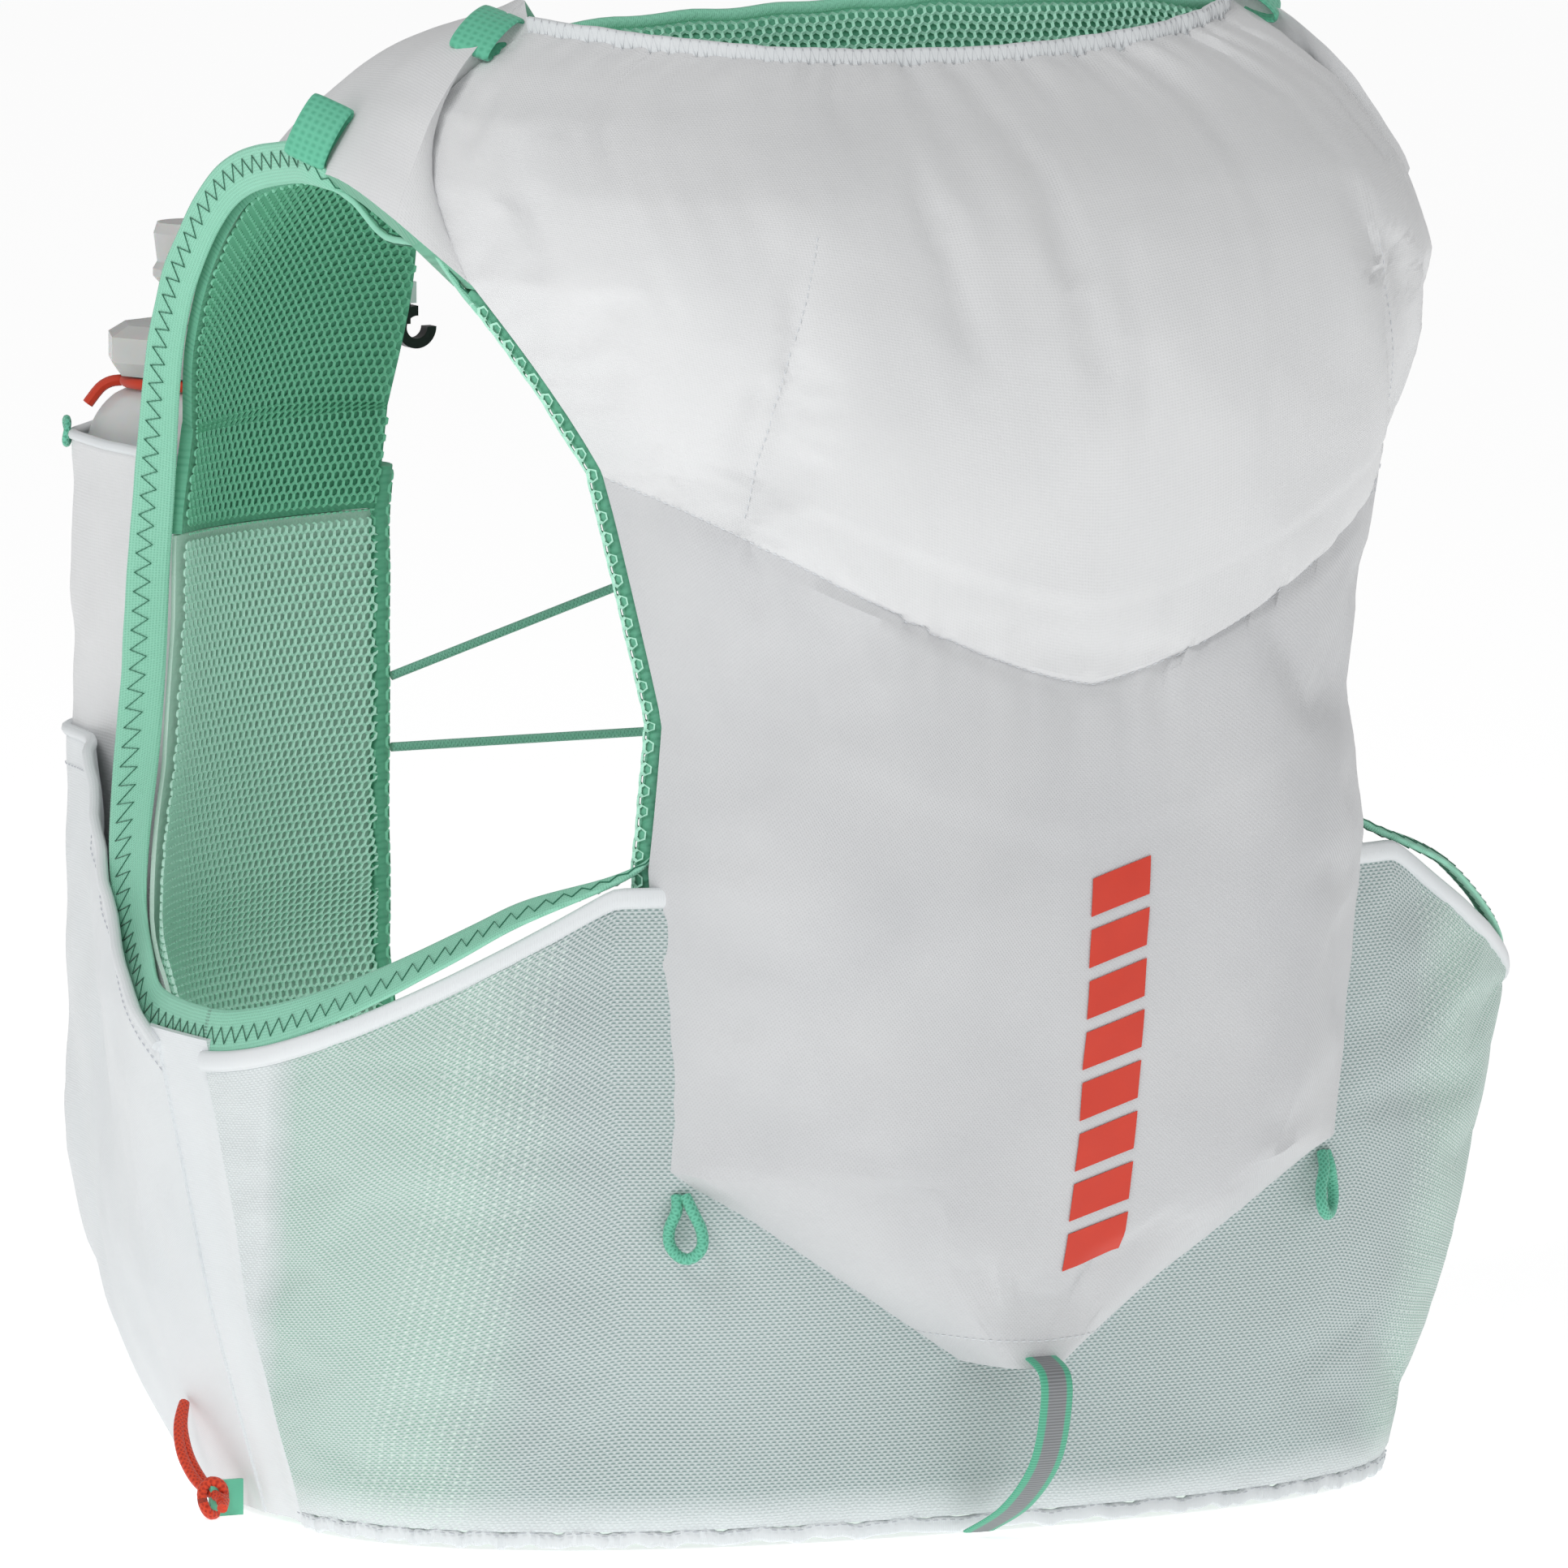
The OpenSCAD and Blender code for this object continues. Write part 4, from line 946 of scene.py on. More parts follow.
seam_row = [shell[LOW_ROWS - 1, j] + shell_normals[LOW_ROWS - 1, j] * 0.35 for j in range(2, SHELL_COLS - 2)]
seams = stitched("shell_stitches", [
    seam_row, dart_path([(-0.50, 364), (-0.64, 330), (-0.81, 290)]),
    dart_path([(0.72, 354), (0.89, 308), (0.91, 286)]),
    [shell[2, j] + shell_normals[2, j] * 0.3 for j in range(4, SHELL_COLS - 4)]], 2.4, 1.6, 0.34, white_thread)
on(seams, harness, "white_fabric")

# The mouth's edge is overlocked: a soft roll with close stitches over it.
mouth = shell[-1]
roll_up = np.array([0, 0.25, 0.97])
roll = np.array([p + np.array([0, 0.6, 0.4 + 0.35 * ripple(p, 6, 3)]) for p in even(mouth, 2.2)])
t_along = np.gradient(roll, axis=0)
t_along /= np.linalg.norm(t_along, axis=1, keepdims=True)
thick_dir = np.cross(t_along, roll_up)
thick_dir /= np.linalg.norm(thick_dir, axis=1, keepdims=True)
roll_half_height = np.tile(roll_up * 3.1, (len(roll), 1))
mouth_roll = sweep("mouth_edge", roll, thick_dir * 1.5, roll_half_height, white_plain, 12, 0.8)
on(mouth_roll, harness, "white_fabric", "mouth_binding")
outer_side = thick_dir if thick_dir[len(roll) // 2][1] < 0 else -thick_dir
roll_low, roll_high = roll + outer_side * 1.62 - roll_up * 2.6, roll + outer_side * 1.1 + roll_up * 2.7
over_path = zigzag(roll_low, roll_high, 0.0, 1.0, 2.6)
on(threaded("mouth_overlock", [over_path], 0.5, white_thread), harness, "white_fabric")


# Plain slanting bars are printed down the middle.
def print_bars():
    pieces = []
    for k in range(8):
        z_top = 191 - k * 14.3
        middle = mix(7, 9.5, k / 7) + 2
        rows = []
        for i in range(7):
            z = z_top - 10.6 * i / 6
            rows.append([on_shell(middle + (j / 8 - 0.5) * 17.5, z + (j / 8 - 0.5) * 5.5, 0.42)
                         for j in range(9)])
        pieces.append(cloth("bar", np.array(rows), 0.12, print_red))
    return join("print_bars", pieces)


on(print_bars(), harness, "white_fabric")

# ---- Green spacer mesh against the back ----


def lining_top(s):
    return 417.0 + 1.2 * math.cos(s * 3.1) + 2.2 * noise.noise(Vector((s * 5, 0, 3))) - 5 * abs(s) ** 6


def lining_grid(off, rows=70, cols=49, low=8.0, lean=0.0):
    made = []
    for i in range(rows):
        row = []
        for j in range(cols):
            s = mix(-1, 1, j / (cols - 1))
            z = mix(low, lining_top(s), i / (rows - 1))
            row.append(back_point(s, z, off + 0.5 * ripple((s * 100, 0, z), 45, 4)) + np.array(
                [0, lean * smooth((z - 400) / 20), 0]))
        made.append(row)
    return np.array(made)


ground = cloth("back_ground", lining_grid(-0.9), 1.8, green_ground)
on(ground, harness, "green_mesh", "back_lining")
on(netted("back_net", lining_grid(-3.3), 4.0, 0.68, 0.9, green_net, True), harness, "green_mesh")
on(netted("neck_net", lining_grid(0.1, 12, 49, 386), 3.0, 0.66, 0.9, green_net), harness, "green_mesh")
top_line = np.array([back_point(s, lining_top(s) + 0.3, -1.8) for s in np.linspace(-0.985, 0.985, 60)])
on(tube("neck_roll", top_line, 2.0, green_net_deep, 8), harness, "green_mesh")
for side, k in SIDES.items():
    rim = np.array([back_point(1, z, 1.2 + 0.5 * noise.noise(Vector((z / 9, k, 0))))
                    for z in np.linspace(140, 346, 90)])
    inner = rim - np.array([1.2, 0, 0])
    a, b = frames_along(inner)
    roll_net = tube("edge", mirrored(inner, k), 2.6, green_ground, 10)
    rows = []
    for q, u, w in zip(inner, a, b):
        rows.append([q + u * 3.1 * math.cos(t) + w * 3.1 * math.sin(t)
                     for t in np.linspace(-math.pi, math.pi, 15)])
    shell_net = netted("edge_net", mirrored(rows, k), 3.4, 0.7, 0.7, green_net)
    on(join("edge_roll_" + side, [roll_net, shell_net]), harness, "green_mesh")

# ---- Belt ----


def belt_point(th, v, off, low=5.0, drop=0.0):
    z = mix(low, belt_top(th) - drop, v)
    p = section(th, z, off)
    wide_fold = 1.5 * ripple(p, 52, 5) * math.sin(math.pi * min(1, v + 0.1))
    return section(th, z, off + wide_fold + 0.5 * ripple(p, 17, 1))


def belt_grid(off, rows, cols, low, drop):
    return np.array([[belt_point(mix(-1, 1, j / (cols - 1)) * (SIDE_TH - 0.2), i / (rows - 1), off, low, drop)
                      for j in range(cols)] for i in range(rows)])


belt_face = belt_grid(BELT_LIFT + 1.0, 46, 151, 5, 0)
free = np.ones(belt_face.shape[:2])
free[0], free[-1], free[:, 0], free[:, -1] = 0, 0, 0, 0
belt_face = settled(belt_face, free, 0.012, 1.5, 2.0)
belt = cloth("belt_stretch", belt_face, 1.0, white_stretch)
on(belt, harness, "stretch_mesh", "belt_mesh")
inner_belt = cloth("belt_inner", belt_grid(1.4, 24, 91, 6, 4), 1.0, grey_cloth, green_band)
on(inner_belt, harness, "white_fabric", "belt_lining")
normal_belt, _ = outward(belt_face)
rim_path = even(belt_face[-1] + normal_belt[-1] * 0.1 + np.array([0, 0, -1.2]), 3)
up = np.tile(np.array([0, 0, 2.9]), (len(rim_path), 1))
out_dir = np.cross(np.gradient(rim_path, axis=0), up)
out_dir /= np.linalg.norm(out_dir, axis=1, keepdims=True)
on(sweep("belt_hem_top", rim_path, out_dir * 1.5, up, white_plain, 12, 0.9), harness, "white_fabric")
hem_path = []
for th in np.linspace(-SIDE_TH + 0.4, SIDE_TH - 0.4, 260):
    hem_z = 2.9 + 0.5 * math.sin(th * 0.93) + 0.3 * math.sin(th * 2.3)
    hem_path.append(section(th, hem_z, BELT_LIFT + 0.6 + 0.4 * math.sin(th * 4.1)))
hem_path = np.array(hem_path)
hem_half_height = 2.6 + 0.25 * np.sin(np.arange(len(hem_path)) * 1.3)
hem_up = np.tile(np.array([0, 0, 1.0]), (len(hem_path), 1)) * hem_half_height[:, None]
hem_out = np.cross(np.gradient(hem_path, axis=0), hem_up)
hem_out /= np.linalg.norm(hem_out, axis=1, keepdims=True)
on(sweep("hem_roll", hem_path, hem_out * 1.15, hem_up * 0.85, white_plain, 12, 0.8), harness, "white_fabric",
   "hem_tape")
outwards = 1.8 * np.sign((hem_out * hem_path).sum(1))
hem_face = np.stack([hem_out[:, 0] * outwards, hem_out[:, 1] * outwards, np.full(len(hem_path), 1.5)], 1)
hem_line = even(hem_path + hem_face, 1.5)
on(stitched("hem_stitches", [hem_line], 2.6, 1.8, 0.4, seam_thread), harness, "white_fabric")

# ---- Reflective tape and corner loops ----

strip_route = [(0, 0, 52), (0.3, -42, 49.4), (1.2, -43.5, 38), (1.5, -40, 23), (-0.5, -30, 10),
               (-3.5, -16, 1.5)]
strip = curve([(x, -look(z, BACK) + y, z) if i else (0, -look(50, BACK) - 30, 54)
               for i, (x, y, z) in enumerate(strip_route)], 8)
t = np.gradient(strip, axis=0)
t /= np.linalg.norm(t, axis=1, keepdims=True)
wide = np.tile(np.array([1.0, 0, 0]), (len(strip), 1))
face = np.cross(t, wide)
face /= np.linalg.norm(face, axis=1, keepdims=True)
on(sweep("reflective_tape", strip, wide * 4.9, face * 0.55, reflective, 16, 0.55), harness, "reflective",
   "reflective_strip")

for side, k in SIDES.items():
    at = np.array([99, back_y(99, 92) - BELT_LIFT - 8.2, 92.0])
    lean = math.radians(42)
    u = np.array([math.cos(lean), math.sin(lean), 0])
    w = np.array([0, 0, 1.0])
    loop = curve([at + u * x + w * z + np.array([0, y, 0]) for x, y, z in (
        (-1, 2, 9), (-2.2, 0, 5), (-4.6, 0, 0), (-4.6, -0.4, -4.5), (-1.8, -0.6, -7.6), (1.6, -0.6, -7.6),
        (4.4, -0.4, -4.5),
        (4.4, 0, 0), (2.4, 0, 5), (1.4, 2, 9))], 6)
    on(tube("corner_cord_" + side, mirrored(loop, k), 1.65, green_cord, 10), harness, "green_cord",
       "corner_loop_" + side)

# ---- Each side: straps, linings, pockets, tapes ----

STRAP_LAST = len(STRAP_A) - 1


def strap_outer_rows(cols=25):
    """The strap's upper face, which rises from the back panel's edge and thins towards the chest."""
    rows = []
    for t in (0.0, 0.35, 0.7):
        row = []
        for j in range(cols):
            s = j / (cols - 1)
            z = mix(413.5, 347, s)
            root = shell_point(1, z, -0.4) + np.array([-0.6, 3.0, 0])
            row.append(mix(root, strap_point(STRAP_STEPS, s, 7.2), t))
        rows.append(row)
    for k in range(STRAP_STEPS, STRAP_LAST + 1):
        near = 1 - smooth((k - STRAP_STEPS) / (STRAP_STEPS * 1.5))
        row = []
        for j in range(cols):
            s = j / (cols - 1)
            p = strap_point(k, s, 0.4 + 6.8 * near)
            pucker = 0.8 * near * noise.noise(Vector((s * 9, k * 0.05, 2)))
            fold = 1.1 * ripple(p, 22, 6) * 4 * s * (1 - s) + pucker
            row.append(p + strap_normal(k) * fold)
        rows.append(row)
    return np.array(rows)


def strap_inner_rows(cols=25, depth=3.6):
    """The strap's mesh face, from the back panel's edge to the chest."""
    rows = []
    for k in range(STRAP_STEPS - 1, STRAP_LAST + 1):
        row = []
        for j in range(cols):
            s = j / (cols - 1)
            if k == STRAP_STEPS - 1:
                z = mix(413.5, 347, s)
                row.append(np.array([look(z, EDGE) + 1.4, back_y(look(z, EDGE), z, -depth), z]))
            else:
                row.append(strap_point(k, s, -depth))
        rows.append(row)
    return np.array(rows)


def lining_rows(off, low, high, count, cols=25):
    rows = []
    for i in range(count):
        z = mix(high, low, i / (count - 1))
        row = []
        for j in range(cols):
            s = j / (cols - 1)
            th = mix(RAIL_TH, look(z, FRONT_EDGE), s)
            row.append(section(th, z, off + 1.3 * ripple((th, 0, z), 40, 3) * 4 * s * (1 - s)))
        rows.append(row)
    return np.array(rows)


def arm_edge():
    """The armhole's edge as one closed line: up the back, over the shoulder, down the chest."""
    back = [section(th, belt_top(th) + 10.2, 1) for th in np.arange(86.3, 39.9, -9)]
    back += [back_point(1, z, 0) for z in range(201, 325, 24)]
    back += [strap_point(k, 1, 0) + np.array([0.5, 0, 0]) for k in (6, 12)]
    front = [strap_point(k, 1, 0) + np.array([0.5, 0, 0]) for k in (18, 24, 30, 36)]
    front += [section(look(z, FRONT_EDGE), z, 0) for z in range(279, 206, -24)]
    front += [section(max(look(z, FRONT_EDGE), 94.7), z, 0) for z in (183, 165, 153, 145)]
    loop = back + front
    smooth_line = curve([loop[-1]] + loop + [loop[0], loop[1]], 8)[8:-8]
    return even(smooth_line[:-1], 2.2, True)


def arm_away(q):
    return unit([0, q[1] * 1.4, q[2] - 256.5])


for side, k in SIDES.items():
    front = "front_" + side
    # Strap and upper chest: white outside, dense mesh inside, one padded body; open mesh below the sewn line.
    top, under = strap_outer_rows(), strap_inner_rows(25, 3.2)
    under = np.concatenate([under[:1], under[:1] * 0.5 + under[1:2] * 0.5, under[1:2], under[1:]])[:len(top)]
    top = np.concatenate([top, lining_rows(0.4, 265.8, 295, 12)])
    under = np.concatenate([under, lining_rows(-2.8, 265.8, 295, 12)])
    top, under = mirrored(top, k), mirrored(under, k)
    strap = cloth("strap_cover_" + side, top, 2.0, white_cloth, green_ground, under, 1)
    bent(strap, side, "white_fabric", "strap_back_" + side, "strap_shoulder_" + side, "strap_front_" + side)
    net_rows = np.concatenate([strap_inner_rows(25, 3.7)[1:], lining_rows(-3.3, 266, 294, 11)])
    strap_net = netted("strap_net_" + side, mirrored(net_rows, k), 2.8, 0.68, 0.8, green_net_deep, True)
    bent(strap_net, side, "green_mesh")
    # The chest lining and net take the lightened mint: painted light inside the chest.
    low = cloth("chest_ground_" + side, mirrored(lining_rows(-0.4, 3, 265.4, 60), k), 1.2, white_cloth,
                mint_cloth_lit, None, 1)
    bent(low, side, "green_mesh", "front_lining_" + side)
    low_net = netted("chest_net_" + side, mirrored(lining_rows(-3.0, 4, 265, 60), k), 2.8, 0.66, 0.8, mint_net_lit,
                     True)
    bent(low_net, side, "green_mesh")
    across_line = [section(th, 265.5, -3.9) for th in np.linspace(159, 128, 40)]
    on(stitched("chest_seam_" + side, [mirrored(across_line, k)], 2.2, 1.8, 0.7, green_net_deep), front,
       "green_mesh")
    # Rolled mesh down the inner edge.
    rail = curve([section(RAIL_TH, z, -1.8) - np.array([1.4, -0.3, 0]) for z in range(8, 293, 15)], 4)
    rail = np.array([p + np.array([0.4 * ripple(p, 14, 2), 0, 0]) for p in rail])
    a, b = frames_along(rail)
    rows = [[q + u * 3.3 * math.cos(t) + w * 3.3 * math.sin(t) for t in np.linspace(-math.pi, math.pi, 17)]
            for q, u, w in zip(rail, a, b)]
    roll_ground = tube("rail", mirrored(rail, k), 2.7, green_ground, 10)
    roll_net = netted("rail_net", mirrored(rows, k), 3.8, 0.7, 0.8, green_net_deep)
    on(join("rail_roll_" + side, [roll_ground, roll_net]), front, "green_mesh", "front_rail_" + side)
    # Tape round the armhole with its zigzag.
    edge = arm_edge()
    hole = np.array([q - arm_away(q) * 2.6 + np.array([1.4, 0, 0]) for q in edge])
    rim = []
    for i, q in enumerate(edge):
        w = arm_away(q)
        wide_mm = 12.2 + 0.5 * noise.noise(Vector((i / 5, k, 0)))
        wide_mm += 4.5 * smooth((q[1] - 40) / 20) * math.exp(-((q[2] - 192) / 36) ** 2)
        rim.append(hole[i] + unit([0.8 * (1 - 0.7 * abs(w[2])), 0.7 * w[1], w[2]]) * wide_mm)
    rim = np.array(rim)
    for i, q in enumerate(edge):
        behind = smooth((-q[1] - 46) / 16) * smooth((q[2] - 178) / 22)
        over_shoulder = (1 - smooth((q[1] + 14) / 10)) * smooth((q[2] - 330) / 15)
        tucked = min(1.0, behind + over_shoulder)
        slot_y = back_y(min(q[0], look(q[2], EDGE)), q[2], 4.2) if q[1] < -40 else q[1]
        hid = smooth((q[2] - 325) / 12) * smooth((-20 - q[1]) / 8)
        sunk = 3.5 if q[1] > -40 else 4.5 * (1 - smooth((q[2] - 200) / 30))
        under_edge = np.array([q[0] - 2.5 - 3 * hid, slot_y, q[2] - sunk - 6 * hid])
        hole[i] = mix(hole[i], under_edge, tucked)
        rim[i] = mix(rim[i], under_edge - unit([q[0], 0.3 * abs(q[1]), 0.9 * max(0, q[2] - 320)]) * 2.2, tucked)
    for _ in range(3):
        rim = (np.roll(rim, 1, 0) + rim * 2 + np.roll(rim, -1, 0)) / 4
        hole = (np.roll(hole, 1, 0) + hole * 2 + np.roll(hole, -1, 0)) / 4
    centre = (hole + rim) / 2
    half = (rim - hole) / 2
    along = np.roll(centre, -1, 0) - np.roll(centre, 1, 0)
    flat = np.cross(along, half)
    flat /= np.linalg.norm(flat, axis=1, keepdims=True)
    tape = sweep("armhole_tape_" + side, mirrored(centre, k), mirrored(half, k), mirrored(flat * 0.95, k),
                 green_tape, 16, 0.6, True)
    bent(tape, side, "green_tape", "armhole_tape_back_" + side, "armhole_tape_front_" + side)
    paths = []
    for sign in (1, -1):
        l, r = np.vstack([hole, hole[:1]]), np.vstack([rim, rim[:1]])
        f = np.vstack([flat, flat[:1]]) * 1.12 * sign
        paths.append(mirrored(zigzag(l + f, r + f, 0.42, 0.80, 5.2), k))
    bent(threaded("armhole_zigzag_" + side, paths, 0.42, dark_thread), side, "green_tape")
    # Stretch strip between belt and front.
    strip_rows = []
    for z in np.linspace(1.5, 138, 40):
        low_down = 1 - smooth((z - 100) / 25)
        strip_rows.append([section(th, z, 7.6 - 1.6 * math.exp(-((th - 90) / 1.6) ** 2) * low_down)
                           for th in np.linspace(85.3, 96, 19)])
    strip_rows = np.array(strip_rows)
    gusset = cloth("side_gusset_" + side, mirrored(strip_rows, k), 1.6, white_plain, green_band)
    bent(gusset, side, "stretch_mesh", "side_strip_" + side)

# ---- Pockets, flasks and fittings on each front panel ----


def wrap(r, out_x, z, lift, steps=5):
    """Plan of a pocket wall round the flask at radius r, ending on the lining at out_x."""
    fx, fy = FLASK
    in_x = fx - r - 2
    return curve([(in_x, chest_y(in_x, z) + lift), (fx - r, fy - 2)]
                 + [(fx + r * math.cos(math.radians(a)) * 1.02, fy + r * math.sin(math.radians(a)) * 1.02)
                    for a in (150, 120, 90, 60, 30)]
                 + [(fx + r, fy - 2), (mix(fx + r, out_x, 0.5) + 1, mix(fy, chest_y(out_x, z), 0.55)),
                    (out_x, chest_y(out_x, z) + lift)], steps)


def flask_pocket_rows(lift, grow):
    rows = []
    full = [(72, 0.35), (80, 0.7), (90, 0.93), (104, 1), (286, 1)]
    for z in np.linspace(72, 286, 70):
        w = wrap(32.4 + grow, 156, z, lift)
        n = len(w)
        row = []
        for i, p in enumerate(w):
            x = mix(123 - 34.4, 156, i / (n - 1))
            f = np.array([x, chest_y(x, z) + lift])
            q = mix(f, p, look(z, full))
            e = math.sin(math.pi * i / (n - 1)) ** 0.5
            d = unit([q[0] - 123, q[1] - 128])
            fold = (2.4 * ripple((q[0], q[1], z * 0.8), 30, 5) + 1.3 * ripple((q[0], q[1], z), 14, 2)) * e
            sag = 1.4 * math.exp(-(286 - z) / 14) * noise.noise(Vector((i / 7, 4, 4))) * e
            rise = 1.6 * math.exp(-(286 - z) / 6) * noise.noise(Vector((i / 9, 1, 8)))
            row.append(np.array([q[0] + d[0] * (fold + sag), q[1] + d[1] * (fold + sag), z + rise]))
        rows.append(row)
    return np.array(rows)


def side_pocket_rows(lift, grow):
    """The low pocket from the chest round to the side; its mouth slopes down towards the back."""
    rows = []
    full = [(2, 0.32), (34, 0.62), (60, 0.85), (86, 1), (500, 1)]
    r = 34 + 1.2 + grow
    sample = len(wrap(r, 168, 100, lift)) - 9
    extra = 12
    n = sample + extra
    for v in np.linspace(0, 1, 64):
        row = []
        for i in range(n):
            t = i / (n - 1)
            z_top = 203 if t < 0.62 else mix(203, 133, (t - 0.62) / 0.38)
            z = mix(1.5, z_top, v)
            w = wrap(r, 168, z, lift)
            edge = look(z, SIDE) + lift
            keep = [w[j] for j in range(len(w) - 9)]
            bends = [keep[-2], keep[-1], (mix(168, edge, 0.55) + 3, 62), (edge - 1, 36), (edge, 13.5)]
            tail = curve(bends, 5)[6:]
            whole = even(np.vstack([keep, tail]), 1.0)
            d = t * (len(whole) - 1)
            a, b = int(d), min(int(d) + 1, len(whole) - 1)
            p = mix(whole[a], whole[b], d - a)
            f3 = section(mix(157, 93.7, t), z, lift)
            q = mix(f3[:2], p, look(z, full))
            out = unit([q[0] * 0.9 - 60, q[1] - 30])
            e = math.sin(math.pi * min(max(t, 0), 1)) ** 0.4
            wide_fold = 4.2 * ripple((q[0] * 0.8, q[1] * 0.8, z * 0.55 + q[0] * 0.3), 34, 8)
            fine_fold = 1.9 * ripple((q[0] * 1.1, q[1] * 1.1, z * 0.7 - q[1] * 0.4), 15, 2)
            fold = (wide_fold + fine_fold) * e * min(1, v * 4 + 0.2)
            row.append(np.array([q[0] + out[0] * fold, q[1] + out[1] * fold, z]))
        rows.append(row)
    return np.array(rows)


FLASK_PROFILE = [(0, 104.4), (14, 104.2), (22, 104.6), (26, 106), (28.6, 109), (29.8, 114), (30, 125),
                 (30, 270), (29.6, 280), (28.4, 287), (26, 292), (22.5, 296), (18.6, 298.2), (16.2, 299.6),
                 (16, 302), (16, 309), (15.2, 311), (14.1, 311), (14.1, 304), (14, 298), (0, 296)]


def turned(name, profile, centre, finish, sides=40, dent=0.0):
    """A closed shape turned about an upright line, with soft dents where it is film."""
    line = curve([(r, 0, z) for r, z in profile], 3)
    points, faces, uv = [], [], []
    run = 0.0
    for i, p in enumerate(line):
        run += float(np.linalg.norm(p - line[i - 1])) if i else 0
        for j in range(sides):
            a = 2 * math.pi * j / sides
            r = max(float(p[0]), 0.02)
            if dent and r > 22:
                r -= dent * abs(noise.noise(Vector((math.cos(a) * 1.4, math.sin(a) * 1.4, p[2] / 34))))
            points.append((centre[0] + r * math.cos(a), centre[1] + r * math.sin(a), p[2]))
            uv.append((a * 20 * MM, run * MM))
    n = len(line)
    for i in range(n - 1):
        for j in range(sides):
            a, b = i * sides + j, i * sides + (j + 1) % sides
            faces.append((a, b, b + sides, a + sides))
    faces.append(tuple(range(sides))[::-1])
    faces.append(tuple((n - 1) * sides + j for j in range(sides)))
    return new_piece(name, points, faces, [finish], None, uv)


def webbing(name, k, at, s, lean, front_body, replaced):
    """A flat loop of webbing lying across the strap."""
    p = strap_point(at, s, 1.6 + 2 * lean)
    x = unit(strap_point(at, s + 0.1, 1.6) - strap_point(at, s - 0.1, 1.6))
    w = unit(strap_normal(at) + np.array([0, -lean, 0]))
    z = unit(w - x * np.dot(w, x))
    y = np.cross(z, x)
    loop = []
    for t in np.linspace(0, 2 * math.pi, 44, endpoint=False):
        lx = 8.8 * power(math.cos(t), 0.8)
        lz = 3.4 + 2.2 * power(math.sin(t), 0.8) + (0.7 if math.sin(t) > 0 else 0) * math.cos(lx / 5)
        loop.append((p + x * lx + z * lz, x * lx + z * (lz - 3.4)))
    path = np.array([q for q, _ in loop])
    out = np.array([unit(d) for _, d in loop])
    half_width = np.tile(y * 6.4, (len(path), 1))
    made = sweep(name, mirrored(path, k), mirrored(half_width, k), mirrored(out * 0.75, k), green_webbing,
                 14, 0.5, True)
    return on(made, front_body, "green_tape", replaced)


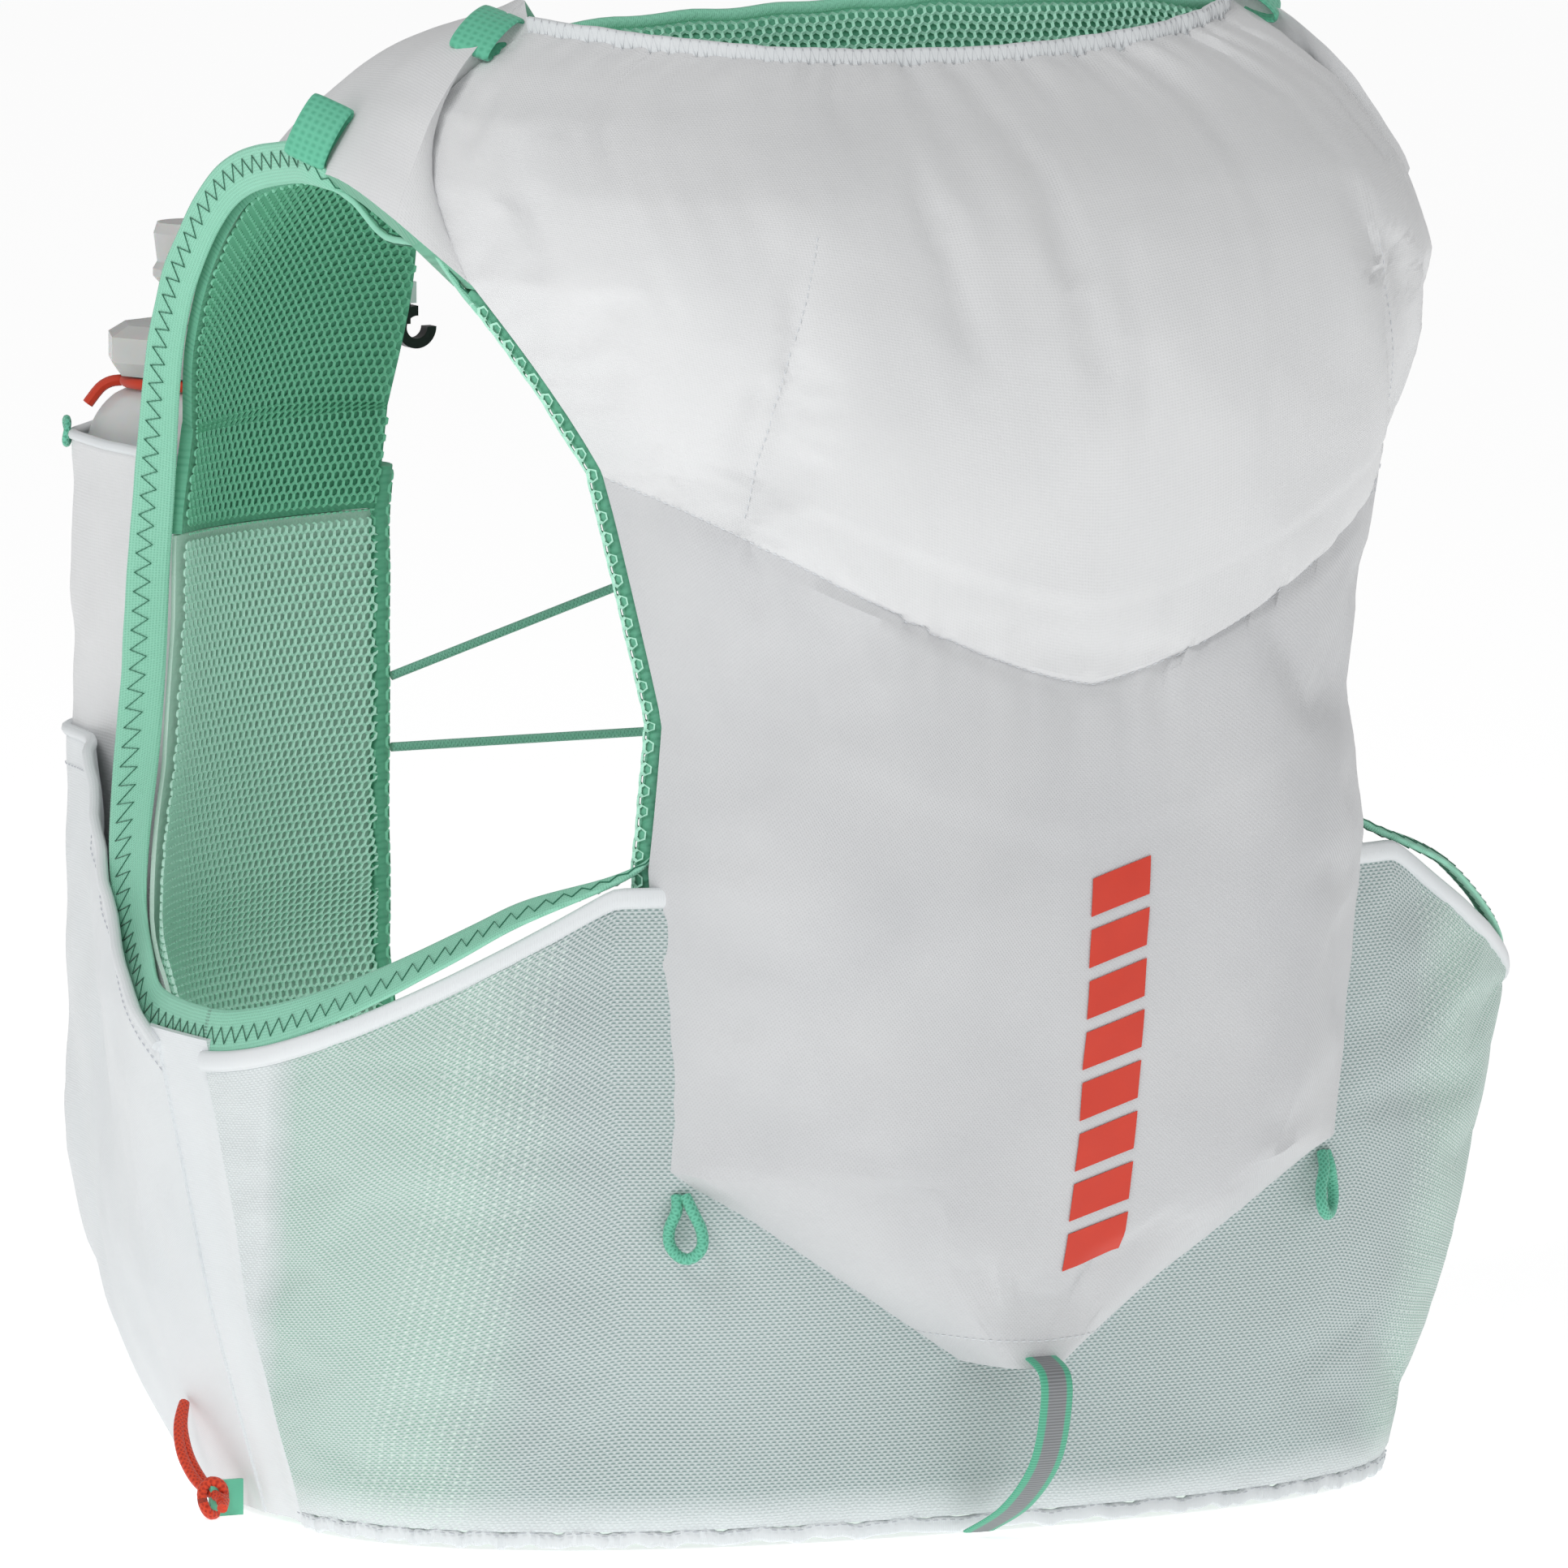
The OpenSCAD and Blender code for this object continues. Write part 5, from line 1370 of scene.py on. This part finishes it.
for side, k in SIDES.items():
    front = "front_" + side
    pocket = cloth("flask_pocket_cloth_" + side, mirrored(flask_pocket_rows(1.8, 0), k), 1.1, white_cloth,
                   white_plain)
    on(pocket, front, "white_fabric", "flask_pocket_" + side)
    rim = flask_pocket_rows(1.8, 0)[-1]
    on(tube("flask_pocket_rim_" + side, mirrored(even(rim, 2.5), k), 1.5, white_plain, 8), front,
       "white_fabric")
    low_rows = side_pocket_rows(8.2, 0)
    low_pocket = cloth("side_pocket_cloth_" + side, mirrored(low_rows, k), 1.1, white_plain, white_plain)
    on(low_pocket, front, "white_fabric", "side_pocket_" + side)
    low_rim = even(low_rows[-1], 2.5)
    on(tube("side_pocket_rim_" + side, mirrored(low_rim, k), 1.7, white_plain, 8), front, "white_fabric")
    stitch_line = low_rows[-4] + outward(low_rows)[0][-4] * 0.35
    on(stitched("side_pocket_stitches_" + side, [mirrored(even(stitch_line, 1.5), k)], 2.6, 1.8, 0.4,
                seam_thread), front,
       "white_fabric")
    bag = turned("flask_film_" + side, FLASK_PROFILE, (FLASK[0] * k, FLASK[1]), flask_film, 40, 1.6)
    on(bag, "flask_" + side, "flask_film", "flask_bag_" + side)
    webbing("neck_webbing_" + side, k, 7, 0.22, 0.4, harness, "neck_loop_" + side)
    webbing("shoulder_webbing_" + side, k, 14, 0.88, 0.9, front, "shoulder_loop_" + side)
    pull_at = np.array([123 + 34.4 * 0.89, 142 + 34.4 * 0.45, 286.6])
    pull = []
    for t in np.linspace(0, 2 * math.pi, 28, endpoint=False):
        pull.append(pull_at + np.array([0.89, 0.45, 0]) * 0.4 * math.sin(2 * t)
                    + np.array([-0.45, 0.89, 0]) * 3.0 * math.cos(t) + np.array([0, 0, 3.6 * math.sin(t)]))
    on(tube("pocket_cord_" + side, mirrored(pull, k), 0.95, green_cord, 8, True), front, "green_cord",
       "pocket_pull_" + side)
    tab_x = look(12, SIDE) + 7.2 + 1.2 + 0.4
    hole_at = np.array([tab_x + 6.4, 18.5, 5.5])
    pole_bends = ((3, -6, -2), (0.6, -2.4, -0.4), (0, 0.7, 0), (0.6, 4, 0.8), (2, 9, 4), (3, 15, 10),
                  (2, 21, 17), (-1, 26, 23))
    pole = curve([hole_at + np.array(p) for p in pole_bends], 6)
    second = pole[4:] + np.array([3.0, -0.5, 1.2]) * np.sin(np.linspace(0.25, math.pi, len(pole) - 4))[:, None]
    ring = [hole_at + np.array([3.3 * math.cos(t), 0.8 * math.sin(2 * t) + 0.7, 4.6 * math.sin(t)])
            + np.array([2.6, 0, 0]) for t in np.linspace(0, 2 * math.pi, 26, endpoint=False)]
    strands = join("pole_elastic_" + side, [
        tube("a", mirrored(pole, k), 1.5, orange_cord, 10),
        tube("b", mirrored(second, k), 1.5, orange_cord, 10),
        tube("c", mirrored(ring, k), 1.45, orange_cord, 10, True)])
    on(strands, front, "orange_cord", "pole_cord_" + side)
    zip_x = section(RAIL_TH, 120)[0] + 4
    zip_y = max(chest_y(zip_x + d * 3.5, z) for z in range(62, 183, 20) for d in (-1, 1)) + 1.9
    line = np.array([(zip_x, zip_y, z) for z in np.linspace(67, 177, 56)])
    on(stitched("zip_teeth_" + side,
                [mirrored(line + np.array([0.55, 0, 0]), k), mirrored(line - np.array([0.55, 0, 0.6]), k)],
                1.3, 0.8, 1.1, zip_cloth), front, "zip_fabric")

# ---- CAD pieces that keep their shape ----

KEPT = {"flask_cap": cap_plastic, "bite_valve": valve_silicone, "flask_keeper": orange_cord,
        "pole_hook": black_plastic,
        "hook_mount": white_plain, "pole_tab": green_webbing, "zip_tape": zip_cloth, "zip_slider": slider_metal}
for start, finish in KEPT.items():
    for side in SIDES:
        mesh = nodes[start + "_" + side].data
        mesh.materials.clear()
        mesh.materials.append(finish)
nodes["chest_hooks"].data.materials.clear()
nodes["chest_hooks"].data.materials.append(black_plastic)

# ---- Floor and light ----

floor_mesh = bpy.data.meshes.new("floor")
floor_mesh.from_pydata([(-30, -30, -0.0004), (30, -30, -0.0004), (30, 30, -0.0004), (-30, 30, -0.0004)], [],
                       [(0, 1, 2, 3)])
floor_finish = Finish("pale floor")
floor_shade = floor_finish.blend(floor_finish.noise(400), (0.93, 0.93, 0.93, 1), (0.95, 0.95, 0.95, 1))
floor_mesh.materials.append(floor_finish.done(
    floor_shade, 0.9, specular_ior_level=0.1, emission_color=(1, 1, 1, 1), emission_strength=0.62))
floor = bpy.data.objects.new("floor", floor_mesh)
scene.collection.objects.link(floor)

world = bpy.data.worlds.new("studio")
scene.world = world
world.use_nodes = True
sky = world.node_tree.nodes["Background"]
sky.inputs[0].default_value = (1, 1, 1, 1)
ray = world.node_tree.nodes.new("ShaderNodeLightPath")
sky_level = world.node_tree.nodes.new("ShaderNodeMapRange")
sky_level.inputs["To Min"].default_value, sky_level.inputs["To Max"].default_value = 0.36, 1.0
world.node_tree.links.new(ray.outputs["Is Camera Ray"], sky_level.inputs["Value"])
world.node_tree.links.new(sky_level.outputs[0], sky.inputs[1])


def softbox(name, place, aim, size, watts):
    light = bpy.data.lights.new(name, "AREA")
    light.energy, light.size = watts, size
    made = bpy.data.objects.new(name, light)
    scene.collection.objects.link(made)
    made.location = place
    made.rotation_euler = (Vector(aim) - Vector(place)).to_track_quat("-Z", "Y").to_euler()


softbox("key", (-1.3, -0.9, 1.4), (0, 0, 0.2), 0.7, 11.5)
softbox("fill", (1.4, -1.0, 0.9), (0, 0, 0.2), 1.0, 2.5)
scene.view_settings.view_transform = "Standard"
